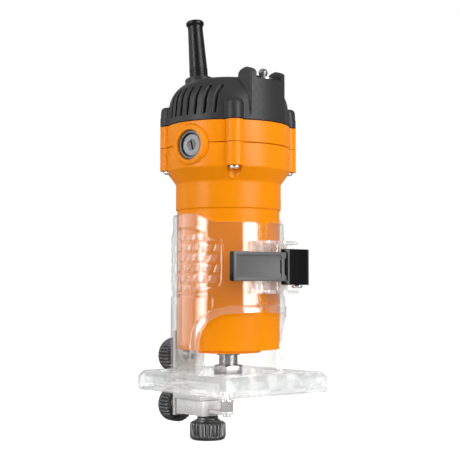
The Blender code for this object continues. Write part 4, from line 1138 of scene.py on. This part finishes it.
def build_stage():
    bm = bmesh.new()
    bmesh.ops.create_grid(bm, x_segments=1, y_segments=1, size=FLOOR_SIZE)
    bm.transform(Matrix.Translation((0, 0, CAD_BOX[0].z - FLOOR_GAP)))
    mesh = bpy.data.meshes.new("floor")
    bm.to_mesh(mesh)
    bm.free()
    floor = add_object("floor", mesh)
    s = Surface("pale_floor")
    s.fill(s.shader, {
        "Base Color": s.blend_colours(s.noise(3.0), (0.5, 0.5, 0.5), (0.52, 0.52, 0.52)),
        "Roughness": 0.9, "Specular IOR Level": 0.0, "Emission Color": WHITE,
        "Emission Strength": s.spread(s.seen_directly(), 0.0, 0.8, 0.0, 1.0)})
    mesh.materials.append(s.material)

    world = bpy.data.worlds.new("studio")
    bpy.context.scene.world = world
    sky = Graph(world)
    sky.fill(sky.tree.nodes["Background"], {
        "Color": WHITE, "Strength": sky.spread(sky.seen_directly(), 0.4, 1.0, 0.0, 1.0)})


def soft_box(name, turn, distance, width, height, middle, radiance):
    """An upright soft box facing the object, turned so many degrees from the camera."""
    light = bpy.data.lights.new(name, "AREA")
    light.shape = "RECTANGLE"
    light.size = width
    light.size_y = height
    light.energy = radiance * math.pi * width * height
    obj = add_object(name, light)
    obj.location = polar(CAMERA_ANGLE + turn, distance, middle)
    target = Vector((0, 0, 0.1))
    obj.rotation_euler = (target - obj.location).to_track_quat("-Z", "Y").to_euler()
    obj.visible_camera = False
    return obj


def build_lights():
    """Soft boxes that light the object, and gloss panels that only show in its reflections."""
    soft_box("right_box", 50, 1.1, 0.72, 1.0, 0.42, 4.2)
    soft_box("left_box", -58, 1.1, 0.46, 1.0, 0.42, 4.0)
    soft_box("top_box", 20, 0.25, 0.9, 0.9, 1.3, 1.0)
    soft_box("back_box", 180, 1.3, 1.2, 0.8, 0.6, 0.6)
    panels = (soft_box("right_panel", 46, 1.05, 0.62, 1.0, 0.42, 13.0),
              soft_box("left_panel", -55, 1.05, 0.38, 1.0, 0.42, 11.0),
              soft_box("left_wall", -98, 1.1, 1.1, 1.0, 0.42, 1.7))
    for panel in panels:
        panel.visible_diffuse = False
        panel.visible_transmission = False


def build_camera():
    camera = bpy.data.cameras.new("camera")
    camera.lens = LENS
    camera.sensor_width = 36.0
    camera.shift_x = 0.0036
    obj = add_object("camera", camera)
    obj.location = polar(CAMERA_ANGLE, CAMERA_DISTANCE, CAMERA_HEIGHT)
    obj.rotation_mode = "QUATERNION"
    target = Vector((0, 0, CAMERA_HEIGHT + CAMERA_DISTANCE * math.tan(math.radians(CAMERA_TILT))))
    obj.rotation_quaternion = (target - obj.location).to_track_quat("-Z", "Y")
    bpy.context.scene.camera = obj


build_stage()
build_lights()
build_camera()
bpy.context.scene.view_settings.view_transform = "Standard"
bpy.context.scene.cycles.transparent_max_bounces = 32
for build in (build_sleeve, build_lugs, build_plate, build_clamp, build_lever, build_lever_panel,
              build_motor_housing, build_brush_housing, build_top_cover, build_strain_relief, build_screws,
              build_brushes, build_switch, build_spindle, build_holder, build_arm, build_roller, build_knobs,
              finish_inner_nodes):
    build()
